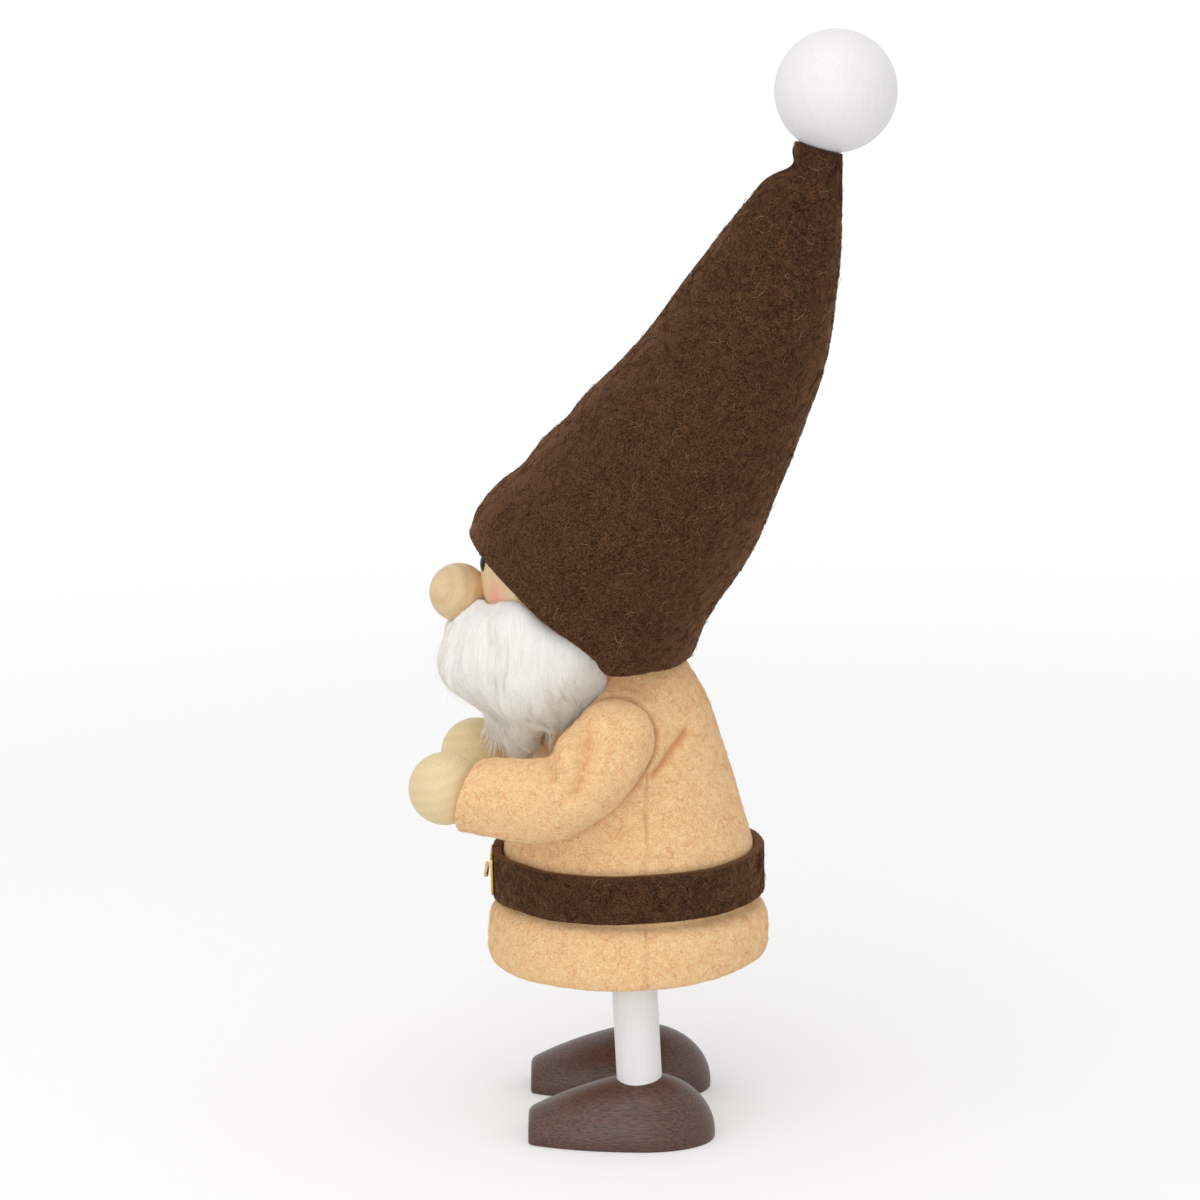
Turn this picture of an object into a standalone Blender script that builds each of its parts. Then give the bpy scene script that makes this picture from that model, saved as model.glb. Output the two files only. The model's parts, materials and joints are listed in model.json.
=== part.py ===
"""A wooden gnome doll in a felt coat and a tall felt hat, with wire-cored arms.

Units are metres, +Z is up and the doll faces -Y, so its left side is at +X. The origin lies on the
ground, midway between the front of the left hand and the back of the ball on the hat. Heights are
above the ground, and depths are counted from the body's own upright axis.
"""

from math import atan2, cos, pi, radians, sin, sqrt, tan

import bmesh
import bpy
from mathutils import Matrix, Vector

# Felt, wire and the clearances between pieces
COAT_FELT = 0.0013
HAT_FELT = 0.0012
BELT_FELT = 0.0013
WIRE_RADIUS = 0.0005
FIT = 0.0003
RUNNING_GAP = 0.0004
SOFT_GAP = 0.0004
BODY_EASE = 0.0005

# Shoes and legs
SHOE_CREST_HEIGHT = 0.0087
SHOE_WIDEST_HEIGHT = 0.0008
SHOE_HALF_WIDTH = 0.0072
SHOE_CREST_DEPTH = 0.0020
SHOE_TOE_LENGTH = 0.0153
SHOE_TOE_CUT = 0.0037
SHOE_TOE_POWERS = (1.9, 1.35)
SHOE_HEEL_LENGTH = 0.0095
SHOE_ROUNDING = 0.0005
LEG_RADIUS = 0.0030
LEG_SPREAD = 0.0110
LEG_FOOT_HEIGHT = 0.0028
LEG_FOOT_DEPTH = 0.0017
LEG_RAKE = radians(3.0)
LEG_IN_BODY = 0.0060

# Body, which fills the coat down to a little above its hem
BODY_BASE_RISE = 0.0015
BODY_TOP_DROP = 0.0035
BODY_TOP_RADIUS = 0.0060

# Coat: radius and height of its outer face, from the collar down to the hem
BELT_RADIUS = 0.01815
BELT_WIDTH = 0.0064
BELT_HEIGHT = 0.0341
BELT_TILT = radians(1.4)
BELT_BUTT = 0.0003
PINCH_MARGIN = 0.0006
COLLAR_RADIUS = 0.0076
COLLAR_HEIGHT = 0.0625
SHOULDER_RADIUS = 0.0106
SHOULDER_DROP = 0.0055
CHEST_RADIUS = 0.0133
CHEST_DROP = 0.0138
SKIRT_RADIUS = 0.0185
SKIRT_DROP = 0.0024
HEM_RADIUS = 0.0188
HEM_HEIGHT = 0.0218
HEM_BACK_RISE = 0.0013
SIDE_SEAM_DEPTH = 0.0022
SEAM_GAP = 0.0003

# Buckle on the belt
BUCKLE_WIDTH = 0.0066
BUCKLE_HEIGHT = 0.0058
BUCKLE_BAR = 0.0009
BUCKLE_THICKNESS = 0.0004
BUCKLE_CORNER = 0.0010
PRONG_RADIUS = 0.0003
PRONG_OVERHANG = 0.0004

# Head, nose and eyes
HEAD_RADIUS = 0.0150
HEAD_DEPTH = -0.0046
NECK_RADIUS = 0.0020
NECK_IN_BODY = 0.0080
NECK_IN_HEAD = 0.0070
NOSE_RADIUS = 0.0039
NOSE_DROP = radians(8.7)
NOSE_SINK = 0.0008
NOSE_PEG_RADIUS = 0.0010
NOSE_PEG_LENGTH = 0.0040
EYE_HALF_WIDTH = 0.0010
EYE_HALF_HEIGHT = 0.0013
EYE_HALF_THICKNESS = 0.0007
EYE_PROUD = 0.0004
EYE_TURN = radians(15)
EYE_RISE = radians(6)

# Hat: a felt cone that leans back and bows, cut to a slanted brim in front and a level one behind
HAT_EASE = 0.0003
HAT_LEAN = radians(27.6)
HAT_LENGTH = 0.0630
HAT_TIP_RADIUS = 0.0031
HAT_BOW = 0.0031
HAT_SWELL = 0.0022
HAT_TIP_SWELL = 0.0005
HAT_FRONT_SWELL = 0.0012
HAT_FRONT_SWELL_START = -0.0040
HAT_FRONT_SWELL_END = 0.0170
HAT_TIP_TURN = radians(11.8)
HAT_SKIRT = 0.0190
BRIM_FRONT_RISE = 0.0052
BRIM_SIDE_DROP = 0.0111
BRIM_CORNER_DEPTH = 0.0017
BALL_RADIUS = 0.0080
WIRE_IN_BALL = 0.0050
WIRE_IN_HEAD = 0.0060
WADDING_GAP = 0.0004
WADDING_OVERLAP = 0.0018
WADDING_END_GAP = 0.0040

# Arms. The ball end of a sleeve turns about a pivot that stands a little out from the coat
HAND_RADIUS = 0.0048
CUFF_TO_HAND = 0.0041
HAND_RISE = 0.0002
CUFF_SLANT = radians(12.5)
SHOULDER_BALL_RADIUS = 0.0053
PIVOT_PROUD = 0.0018
PIVOT_DEPTH = -0.0019
PIVOT_DROP = 0.0079
ARM_SWING = radians(50)
STUB_END_GAP = 0.0012
STUB_SLOT_MARGIN = radians(12)
BALL_END_LATITUDES = (-78, -55, -32, -12)
WIRE_IN_HAND = 0.0035

# Each row, from the shoulder to the cuff: place from the pivot (out from the body, back and up),
# then the sleeve's radius over the wire and under it, and its half width
LEFT_ARM = (
    (0.0031, -0.0024, -0.0034, 0.0064, 0.0052, 0.0043),
    (0.0042, -0.0055, -0.0061, 0.0056, 0.0050, 0.0045),
    (0.0027, -0.0101, -0.0076, 0.0058, 0.0056, 0.0047),
    (-0.0010, -0.01845, -0.0075, 0.0048, 0.0051, 0.0046),
)
RIGHT_ARM = (
    (0.0029, -0.0023, -0.0030, 0.0058, 0.0050, 0.0043),
    (0.0041, -0.0052, -0.0058, 0.0054, 0.0050, 0.0044),
    (0.0028, -0.0090, -0.0074, 0.0056, 0.0054, 0.0046),
    (-0.0008, -0.0152, -0.0075, 0.0048, 0.0048, 0.0046),
)

# Beard. Each row of its mass, from beside the nose down, in the frame of the head's centre: front,
# back, half width and height
BEARD_MASS = (
    (-0.0147, 0.0017, 0.0134, -0.0012),
    (-0.0169, 0.0039, 0.0143, -0.0035),
    (-0.0193, 0.0056, 0.0149, -0.0067),
    (-0.0200, 0.0056, 0.0150, -0.0093),
    (-0.0206, 0.0046, 0.0145, -0.0121),
    (-0.0200, 0.0042, 0.0126, -0.0153),
    (-0.0162, 0.0026, 0.0104, -0.0178),
    (-0.0130, -0.0008, 0.0068, -0.0195),
)
# A lock's width along its length, as shares of its radius from above its root to its tip
LOCK_PROFILE = ((-0.25, 0.45), (0.0, 0.9), (0.3, 1.0), (0.6, 0.72), (0.85, 0.4), (1.0, 0.12))
# Each lock that hangs from the mass: root, tip and radius
BEARD_LOCKS = (
    ((-0.0010, -0.0138, -0.0158), (-0.0018, -0.0139, -0.0224), 0.0035),
    ((0.0035, -0.0134, -0.0153), (0.0045, -0.0138, -0.0206), 0.0034),
    ((0.0005, -0.0114, -0.0168), (0.0012, -0.0097, -0.0255), 0.0046),
    ((-0.0045, -0.0119, -0.0163), (-0.0052, -0.0104, -0.0233), 0.0038),
    ((0.0058, -0.0104, -0.0158), (0.0062, -0.0082, -0.0231), 0.0036),
    ((0.0085, -0.0064, -0.0133), (0.0092, -0.0048, -0.0198), 0.0034),
    ((-0.0085, -0.0064, -0.0133), (-0.0092, -0.0048, -0.0198), 0.0034),
)

# Fineness of the round forms
BELL_SEGMENTS = 36
BELT_SEGMENTS = 48
HAT_SEGMENTS = 32
HAT_RINGS = 15
WADDING_RINGS = 6
BALL_SEGMENTS = 28
SMALL_SEGMENTS = 20
TINY_SEGMENTS = 12
SHOE_SEGMENTS = 24
BEARD_SEGMENTS = 24
LOCK_SEGMENTS = 10
SLEEVE_SEGMENTS = 20
SPAN_STEPS = 3
SWEEP_STEPS = 8
ARMHOLE_STEPS = 2
SHARP_ANGLE = radians(35)

# Places that follow from the sizes above
PINCH_RADIUS = BELT_RADIUS - BELT_FELT - FIT
PINCH_TOP = BELT_HEIGHT + BELT_WIDTH / 2 + PINCH_MARGIN
PINCH_BOTTOM = BELT_HEIGHT - BELT_WIDTH / 2 - PINCH_MARGIN
SHOULDER_HEIGHT = COLLAR_HEIGHT - SHOULDER_DROP
CHEST_HEIGHT = COLLAR_HEIGHT - CHEST_DROP
PIVOT_HEIGHT = COLLAR_HEIGHT - PIVOT_DROP
BODY_BASE_HEIGHT = HEM_HEIGHT + BODY_BASE_RISE
BODY_TOP_HEIGHT = COLLAR_HEIGHT - BODY_TOP_DROP
HEAD_CENTRE = Vector((0, HEAD_DEPTH, BODY_TOP_HEIGHT + FIT + HEAD_RADIUS))
HAT_RADIUS = HEAD_RADIUS + HAT_EASE + FIT + HAT_FELT
HAT_AXIS = Vector((0, sin(HAT_LEAN), cos(HAT_LEAN)))


def clear_scene():
    for item in list(bpy.data.objects):
        bpy.data.objects.remove(item, do_unlink=True)


def new_collection(name):
    group = bpy.data.collections.new(name)
    bpy.context.scene.collection.children.link(group)
    return group


def linear(hex_colour):
    """The linear colour of an sRGB hex value."""
    parts = [int(hex_colour[i : i + 2], 16) / 255 for i in (1, 3, 5)]
    return [p / 12.92 if p <= 0.04045 else ((p + 0.055) / 1.055) ** 2.4 for p in parts]


def finish(name, hex_colour, roughness, metallic=0.0):
    """A Principled material."""
    made = bpy.data.materials.new(name)
    made.use_nodes = True
    shader = made.node_tree.nodes["Principled BSDF"]
    shader.inputs["Base Color"].default_value = (*linear(hex_colour), 1)
    shader.inputs["Roughness"].default_value = roughness
    shader.inputs["Metallic"].default_value = metallic
    made.diffuse_color = (*linear(hex_colour), 1)
    return made


def empty(name, location, parent=None):
    made = bpy.data.objects.new(name, None)
    made.empty_display_size = 0.005
    made.location = location
    made.parent = parent
    parts.objects.link(made)
    return made


def add_part(name, data, look, parent=None):
    """A named piece of the doll, placed in the frame of its parent."""
    made = bpy.data.objects.new(name, data)
    made.parent = parent or doll
    parts.objects.link(made)
    data.materials.append(look)
    if hasattr(data, "shade_smooth"):
        data.shade_smooth()
        data.set_sharp_from_angle(angle=SHARP_ANGLE)
    return made


def add_cutter(name, data, parent=None):
    """A tool shape, which is left out of the doll."""
    made = bpy.data.objects.new(name, data)
    made.parent = parent or doll
    made.hide_render = True
    made.display_type = "WIRE"
    cutters.objects.link(made)
    return made


def boolean(piece, tool, operation="DIFFERENCE"):
    made = piece.modifiers.new(tool.name, "BOOLEAN")
    made.operation = operation
    made.object = tool
    made.solver = "EXACT"
    return made


def mesh_of(shape, name):
    """Turns a bmesh into a mesh with its faces pointing out."""
    bmesh.ops.recalc_face_normals(shape, faces=shape.faces)
    data = bpy.data.meshes.new(name)
    shape.to_mesh(data)
    shape.free()
    return data


def smooth_path(points, steps=SPAN_STEPS):
    """Points on a Catmull-Rom curve through the given ones, with this many steps to each span."""
    rows = [points[0], *points, points[-1]]
    found = []
    for before, start, end, after in zip(rows, rows[1:], rows[2:], rows[3:]):
        for k in range(steps):
            t = k / steps
            found.append(
                tuple(
                    (2 * b + (c - a) * t + (2 * a - 5 * b + 4 * c - d) * t**2
                     + (3 * b - a - 3 * c + d) * t**3) / 2
                    for a, b, c, d in zip(before, start, end, after)
                )
            )
    return found + [tuple(points[-1])]


def loft(name, rings, capped=True):
    """A skin over rings with the same number of points, closed at both ends when capped."""
    shape = bmesh.new()
    loops = [[shape.verts.new(point) for point in ring] for ring in rings]
    for lower, upper in zip(loops, loops[1:]):
        for i, point in enumerate(lower):
            j = (i + 1) % len(lower)
            shape.faces.new((point, lower[j], upper[j], upper[i]))
    if capped:
        shape.faces.new(loops[0][::-1])
        shape.faces.new(loops[-1])
    return mesh_of(shape, name)


def ball_mesh(name, radius, centre=(0, 0, 0), segments=BALL_SEGMENTS):
    shape = bmesh.new()
    bmesh.ops.create_uvsphere(
        shape,
        u_segments=segments,
        v_segments=segments * 5 // 8,
        radius=radius,
        matrix=Matrix.Translation(centre),
    )
    return mesh_of(shape, name)


def rod_mesh(name, start, end, radius, segments=SMALL_SEGMENTS):
    """A closed cylinder between two points."""
    start, end = Vector(start), Vector(end)
    run = end - start
    shape = bmesh.new()
    bmesh.ops.create_cone(
        shape,
        cap_ends=True,
        segments=segments,
        radius1=radius,
        radius2=radius,
        depth=run.length,
        matrix=Matrix.Translation((start + end) / 2) @ run.to_track_quat("Z", "Y").to_matrix().to_4x4(),
    )
    return mesh_of(shape, name)


def box_mesh(name, low, high):
    shape = bmesh.new()
    size = [b - a for a, b in zip(low, high)]
    middle = [(a + b) / 2 for a, b in zip(low, high)]
    bmesh.ops.create_cube(shape, size=1, matrix=Matrix.Translation(middle) @ Matrix.Diagonal((*size, 1)))
    return mesh_of(shape, name)


def wire_curve(name, points, radius):
    """A round wire along points, with flat ends."""
    data = bpy.data.curves.new(name, "CURVE")
    data.dimensions = "3D"
    data.bevel_depth = radius
    data.bevel_resolution = 2
    data.use_fill_caps = True
    spline = data.splines.new("POLY")
    spline.points.add(len(points) - 1)
    for place, point in zip(spline.points, points):
        place.co = (*point, 1)
    return data


def bore_mesh(name, points, radius):
    """A closed mesh along points, for boring a wire's path."""
    guide = add_cutter(name + "_guide", wire_curve(name, points, radius))
    bpy.context.view_layer.update()
    graph = bpy.context.evaluated_depsgraph_get()
    data = bpy.data.meshes.new_from_object(guide.evaluated_get(graph))
    bpy.data.objects.remove(guide, do_unlink=True)
    shape = bmesh.new()
    shape.from_mesh(data)
    bmesh.ops.remove_doubles(shape, verts=shape.verts, dist=1e-6)
    return mesh_of(shape, name)


def outline_mesh(name, outline):
    """A profile of radius and height points in the XZ plane, for a Screw modifier."""
    data = bpy.data.meshes.new(name)
    rows = [(radius, 0, height) for radius, height in outline]
    data.from_pydata(rows, [(i, i + 1) for i in range(len(rows) - 1)], [])
    return data


def turn(piece, segments=BELL_SEGMENTS, angle=2 * pi):
    """Turns a profile about the piece's Z axis. A full turn is welded into a closed ring."""
    made = piece.modifiers.new("turned", "SCREW")
    made.axis = "Z"
    made.angle = angle
    made.steps = segments
    made.render_steps = segments
    made.use_merge_vertices = angle == 2 * pi
    made.merge_threshold = 0.00001
    made.use_smooth_shade = True
    return made


def thicken(piece, thickness, side):
    """Gives a sheet its felt thickness, inwards with side -1 and outwards with side 1."""
    made = piece.modifiers.new("felt", "SOLIDIFY")
    made.thickness = thickness
    made.offset = side
    made.use_even_offset = True
    return made


# Shoes and legs

def leg_point(side, height):
    """A point on the raked axis of a leg."""
    depth = LEG_FOOT_DEPTH - (height - LEG_FOOT_HEIGHT) * tan(LEG_RAKE)
    return Vector((side * LEG_SPREAD, depth, height))


def shoe_mesh(name):
    """An egg cut flat for the sole and the toe, its crest above the local origin."""
    shape = bmesh.new()
    bmesh.ops.create_uvsphere(shape, u_segments=SHOE_SEGMENTS, v_segments=SHOE_SEGMENTS // 2, radius=1)
    for point in shape.verts:
        along = max(-1, min(1, point.co.z))
        across = Vector(point.co.xy)
        if across.length > 1e-6:
            across.normalize()
        heel = along > 0
        length = SHOE_HEEL_LENGTH if heel else SHOE_TOE_LENGTH + SHOE_TOE_CUT
        width_power, height_power = (2, 2) if heel else SHOE_TOE_POWERS
        width = SHOE_HALF_WIDTH * (1 - abs(along) ** width_power) ** (1 / width_power)
        height = (1 - abs(along) ** height_power) ** (1 / height_power)
        height *= SHOE_CREST_HEIGHT - SHOE_WIDEST_HEIGHT
        point.co = (width * across.x, length * along, height * across.y + SHOE_WIDEST_HEIGHT)
    for place, normal in (((0, -SHOE_TOE_LENGTH, 0), (0, -1, 0)), ((0, 0, 0), (0, 0, -1))):
        cut = bmesh.ops.bisect_plane(
            shape,
            geom=shape.verts[:] + shape.edges[:] + shape.faces[:],
            plane_co=place,
            plane_no=normal,
            clear_outer=True,
        )
        rim = [item for item in cut["geom_cut"] if isinstance(item, bmesh.types.BMEdge)]
        bmesh.ops.edgeloop_fill(shape, edges=rim)
    return mesh_of(shape, name)


def make_foot(name, side):
    shoe = add_part(f"shoe_{name}", shoe_mesh("shoe"), stained_wood)
    shoe.location = (side * LEG_SPREAD, SHOE_CREST_DEPTH, 0)
    rounding = shoe.modifiers.new("rounded_edges", "BEVEL")
    rounding.width = SHOE_ROUNDING
    rounding.segments = 2
    rounding.limit_method = "ANGLE"
    rounding.angle_limit = SHARP_ANGLE
    low = leg_point(side, LEG_FOOT_HEIGHT)
    high = leg_point(side, BODY_BASE_HEIGHT + LEG_IN_BODY)
    run = (high - low).normalized()
    add_part(f"leg_{name}", rod_mesh("leg", low, high, LEG_RADIUS), white_wood)
    bore = rod_mesh("leg_bore", low - run * FIT, high + run * FIT, LEG_RADIUS + FIT)
    tool = add_cutter(f"leg_bore_{name}", bore)
    boolean(shoe, tool)
    return tool


# Coat, body and belt

def coat_line():
    """Radius and height of the coat's outer face, from the collar to the hem."""
    upper = smooth_path(
        (
            (COLLAR_RADIUS, COLLAR_HEIGHT),
            (SHOULDER_RADIUS, SHOULDER_HEIGHT),
            (CHEST_RADIUS, CHEST_HEIGHT),
            (PINCH_RADIUS, PINCH_TOP),
        )
    )
    lower = smooth_path(
        (
            (PINCH_RADIUS, PINCH_BOTTOM),
            (SKIRT_RADIUS, PINCH_BOTTOM - SKIRT_DROP),
            (HEM_RADIUS, HEM_HEIGHT),
        ),
        2,
    )
    return upper + lower


def coat_radius(height):
    """The coat's outer radius at a height between its collar and its hem."""
    line = coat_line()
    for (upper_radius, upper), (lower_radius, lower) in zip(line, line[1:]):
        if lower <= height <= upper:
            share = (upper - height) / (upper - lower)
            return upper_radius + (lower_radius - upper_radius) * share
    return line[0][0]


def inside_of(line, inset):
    """The line moved inwards, square to itself."""
    found = []
    for i, (radius, height) in enumerate(line):
        before, after = line[max(0, i - 1)], line[min(len(line) - 1, i + 1)]
        run = Vector((after[0] - before[0], after[1] - before[1])).normalized()
        found.append((radius + run.y * inset, height - run.x * inset))
    return found


def make_body(tools):
    """A turned bell that follows the coat from inside, drilled for legs, neck and wire."""
    inset = COAT_FELT + BODY_EASE
    line = [(0, BODY_TOP_HEIGHT), (BODY_TOP_RADIUS, BODY_TOP_HEIGHT)]
    for radius, height in inside_of(coat_line(), inset):
        if BODY_BASE_HEIGHT < height < BODY_TOP_HEIGHT - inset:
            line.append((radius, height))
    line.append((coat_radius(BODY_BASE_HEIGHT) - inset, BODY_BASE_HEIGHT))
    line.append((0, BODY_BASE_HEIGHT))
    body = add_part("body_core", outline_mesh("body", line), beech)
    turn(body)
    for tool in tools:
        boolean(body, tool)
    return body


def coat_mesh():
    """The coat's outer face. Its skirt hangs a little higher behind than in front."""
    angles = [2 * pi * k / BELL_SEGMENTS for k in range(BELL_SEGMENTS)]
    rings = []
    for radius, height in coat_line():
        share = max(0, PINCH_BOTTOM - height) / (PINCH_BOTTOM - HEM_HEIGHT)
        ring = []
        for a in angles:
            rise = HEM_BACK_RISE * share * ((1 + sin(a)) / 2) ** 2
            ring.append((radius * cos(a), radius * sin(a), height + rise))
        rings.append(ring)
    return loft("coat", rings, capped=False)


def make_coat(tools):
    """Two felt panels that meet at the side seams, cut away round the head and the arms."""
    reach = HEM_RADIUS * 2
    seams = (
        ("coat_front", -reach, SIDE_SEAM_DEPTH - SEAM_GAP / 2),
        ("coat_back", SIDE_SEAM_DEPTH + SEAM_GAP / 2, reach),
    )
    for name, near, far in seams:
        panel = add_part(name, coat_mesh(), coat_felt)
        thicken(panel, COAT_FELT, -1)
        half = box_mesh("half", (-reach, near, 0), (reach, far, COLLAR_HEIGHT + reach))
        boolean(panel, add_cutter(name + "_half", half), "INTERSECT")
        for tool in tools:
            boolean(panel, tool)


def make_belt():
    """A felt strip round the waist, whose two ends meet behind the buckle."""
    top, bottom = BELT_WIDTH / 2, -BELT_WIDTH / 2
    inner = BELT_RADIUS - BELT_FELT
    place = empty("belt_centre", (0, 0, BELT_HEIGHT), doll)
    place.rotation_euler.x = BELT_TILT
    strip = outline_mesh("belt", ((inner, top), (inner, bottom)))
    belt = add_part("belt", strip, hat_felt, place)
    belt.rotation_euler.z = -pi / 2 + BELT_BUTT / BELT_RADIUS / 2
    turn(belt, BELT_SEGMENTS, 2 * pi - BELT_BUTT / BELT_RADIUS)
    thicken(belt, BELT_FELT, 1)
    return place


def rounded_rectangle(width, height, corner, turns=4):
    """Points round a rectangle whose corners are quarter circles."""
    found = []
    for quarter, (sx, sy) in enumerate(((1, 1), (-1, 1), (-1, -1), (1, -1))):
        for k in range(turns + 1):
            angle = pi / 2 * (quarter + k / turns)
            x = sx * (width / 2 - corner) + corner * cos(angle)
            y = sy * (height / 2 - corner) + corner * sin(angle)
            found.append((x, y))
    return found


def make_buckle(place):
    """A flat brass frame in front of the belt, with its prong across the front of both bars."""
    outer = rounded_rectangle(BUCKLE_WIDTH, BUCKLE_HEIGHT, BUCKLE_CORNER)
    inner = rounded_rectangle(
        BUCKLE_WIDTH - 2 * BUCKLE_BAR,
        BUCKLE_HEIGHT - 2 * BUCKLE_BAR,
        BUCKLE_CORNER - BUCKLE_BAR / 2,
    )
    data = bpy.data.curves.new("buckle", "CURVE")
    data.dimensions = "2D"
    data.fill_mode = "BOTH"
    data.extrude = BUCKLE_THICKNESS / 2
    for ring in (outer, inner):
        spline = data.splines.new("POLY")
        spline.points.add(len(ring) - 1)
        spline.use_cyclic_u = True
        for point, (x, y) in zip(spline.points, ring):
            point.co = (x, y, 0, 1)
    frame = add_part("buckle_frame", data, brass, place)
    frame.rotation_euler.x = pi / 2
    face = -BELT_RADIUS - FIT - BUCKLE_THICKNESS
    frame.location = (0, face + BUCKLE_THICKNESS / 2, 0)
    half = BUCKLE_WIDTH / 2 + PRONG_OVERHANG
    depth = face - FIT - PRONG_RADIUS
    ends = ((-half, depth, 0), (half - BUCKLE_BAR, depth, 0))
    add_part("buckle_prong", wire_curve("prong", ends, PRONG_RADIUS), brass, place)


# Head

def on_head(turn_angle, rise, distance):
    """A point this far from the head's centre, turned from straight ahead and raised."""
    way = Vector((sin(turn_angle) * cos(rise), -cos(turn_angle) * cos(rise), sin(rise)))
    return HEAD_CENTRE + way * distance, way


def nose_mesh(name, growth):
    """The nose ball, which sits a little way into the head, and its peg, both grown by a clearance."""
    centre, way = on_head(0, -NOSE_DROP, HEAD_RADIUS - NOSE_SINK + NOSE_RADIUS)
    root = HEAD_CENTRE + way * (HEAD_RADIUS - NOSE_PEG_LENGTH - growth)
    ball = ball_mesh(name, NOSE_RADIUS + growth, centre, SMALL_SEGMENTS)
    peg = rod_mesh(name + "_peg", root, centre, NOSE_PEG_RADIUS + growth, TINY_SEGMENTS)
    return ball, peg


def eye_mesh(name, growth):
    """A flattened bead whose long axis is local Z and whose thin axis is local X."""
    shape = bmesh.new()
    half = (EYE_HALF_THICKNESS, EYE_HALF_WIDTH, EYE_HALF_HEIGHT)
    bmesh.ops.create_uvsphere(
        shape,
        u_segments=TINY_SEGMENTS,
        v_segments=TINY_SEGMENTS * 2 // 3,
        radius=1,
        matrix=Matrix.Diagonal((*(size + growth for size in half), 1)),
    )
    return mesh_of(shape, name)


def make_head(wire_path):
    head = add_part("head", ball_mesh("head", HEAD_RADIUS, HEAD_CENTRE), beech)
    neck_bottom = Vector((0, HEAD_DEPTH, BODY_TOP_HEIGHT - NECK_IN_BODY))
    neck_top = HEAD_CENTRE - Vector((0, 0, HEAD_RADIUS - NECK_IN_HEAD))
    add_part("neck_peg", rod_mesh("neck", neck_bottom, neck_top, NECK_RADIUS), beech)
    slack = Vector((0, 0, FIT))
    bore = rod_mesh("neck_bore", neck_bottom - slack, neck_top + slack, NECK_RADIUS + FIT)
    neck_bore = add_cutter("neck_bore", bore)
    boolean(head, neck_bore)

    ball, peg = nose_mesh("nose", 0)
    nose = add_part("nose", ball, beech)
    boolean(nose, add_cutter("nose_peg", peg), "UNION")
    for name, tool in zip(("nose_seat", "nose_bore"), nose_mesh("nose_seat", FIT)):
        boolean(head, add_cutter(name, tool))

    for name, side in (("left", 1), ("right", -1)):
        reach = HEAD_RADIUS + EYE_PROUD - EYE_HALF_THICKNESS
        centre, way = on_head(side * EYE_TURN, EYE_RISE, reach)
        facing = way.to_track_quat("X", "Z").to_euler()
        eye = add_part(f"eye_{name}", eye_mesh("eye", 0), black_gloss)
        recess = add_cutter(f"eye_recess_{name}", eye_mesh("eye_recess", FIT))
        for item in (eye, recess):
            item.location = centre
            item.rotation_euler = facing
        boolean(head, recess)
    deeper = [wire_path[0] - HAT_AXIS * FIT, *wire_path[:3]]
    boolean(head, add_cutter("wire_bore_head", bore_mesh("head_bore", deeper, WIRE_RADIUS + FIT)))
    return neck_bore


# Hat

def hat_ring(along, inset=0.0):
    """Centre, forward and radius of the hat at a distance along its axis from the head's centre."""
    share = max(0, along / HAT_LENGTH)
    radius = HAT_RADIUS + (HAT_TIP_RADIUS - HAT_RADIUS) * share + HAT_SWELL * sin(pi * share)
    radius += HAT_TIP_SWELL * max(0, sin(2 * pi * (share - 0.5)))
    back = HAT_BOW * sin(pi * share)
    lean = HAT_LEAN - HAT_TIP_TURN * share**2
    forward = Vector((0, -cos(HAT_LEAN), sin(HAT_LEAN)))
    centre = HEAD_CENTRE + HAT_AXIS * along - forward * back
    return centre, Vector((0, -cos(lean), sin(lean))), radius - inset


def hat_points(along, inset=0.0):
    """A ring of the hat, which is fuller in front where the felt lies over the forehead."""
    centre, forward, radius = hat_ring(along, inset)
    share = (along - HAT_FRONT_SWELL_START) / (HAT_FRONT_SWELL_END - HAT_FRONT_SWELL_START)
    swell = HAT_FRONT_SWELL * sin(pi * min(1, max(0, share)))
    found = []
    for k in range(HAT_SEGMENTS):
        a = 2 * pi * k / HAT_SEGMENTS
        reach = radius + swell * max(0, cos(a))
        found.append(centre + forward * reach * cos(a) + Vector((reach * sin(a), 0, 0)))
    return found


def make_hat():
    span = HAT_LENGTH + HAT_SKIRT
    rings = [hat_points(-HAT_SKIRT + span * k / (HAT_RINGS - 1)) for k in range(HAT_RINGS)]
    data = loft("hat", rings, capped=False)
    shape = bmesh.new()
    shape.from_mesh(data)
    corner = HEAD_CENTRE + Vector((0, BRIM_CORNER_DEPTH, -BRIM_SIDE_DROP))
    front = HEAD_CENTRE + Vector((0, -HAT_RADIUS * cos(HAT_LEAN / 2), BRIM_FRONT_RISE))
    slope = front - corner
    for normal in (Vector((0, -slope.z, slope.y)), Vector((0, 0, -1))):
        bmesh.ops.bisect_plane(
            shape,
            geom=shape.verts[:] + shape.edges[:] + shape.faces[:],
            plane_co=corner,
            plane_no=normal,
            clear_outer=True,
        )
    hat = add_part("hat", mesh_of(shape, "hat"), hat_felt)
    thicken(hat, HAT_FELT, -1)
    return corner, slope


def ball_centre():
    """The ball sits on the rim of the hat's tip, along the tip's own direction."""
    centre, forward, radius = hat_ring(HAT_LENGTH)
    way = Vector((0, forward.z, -forward.y))
    return centre + way * (sqrt(BALL_RADIUS**2 - radius**2) + RUNNING_GAP), way


def hat_wire_path():
    """From a drilled hole in the head, up the middle of the hat and into the ball."""
    start = HEAD_RADIUS - WIRE_IN_HEAD
    centre, way = ball_centre()
    stops = [start + (HAT_LENGTH - start) * k / SWEEP_STEPS for k in range(SWEEP_STEPS + 1)]
    path = [hat_ring(stop)[0] for stop in stops]
    return path + [centre - way * (BALL_RADIUS - WIRE_IN_BALL)]


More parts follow.
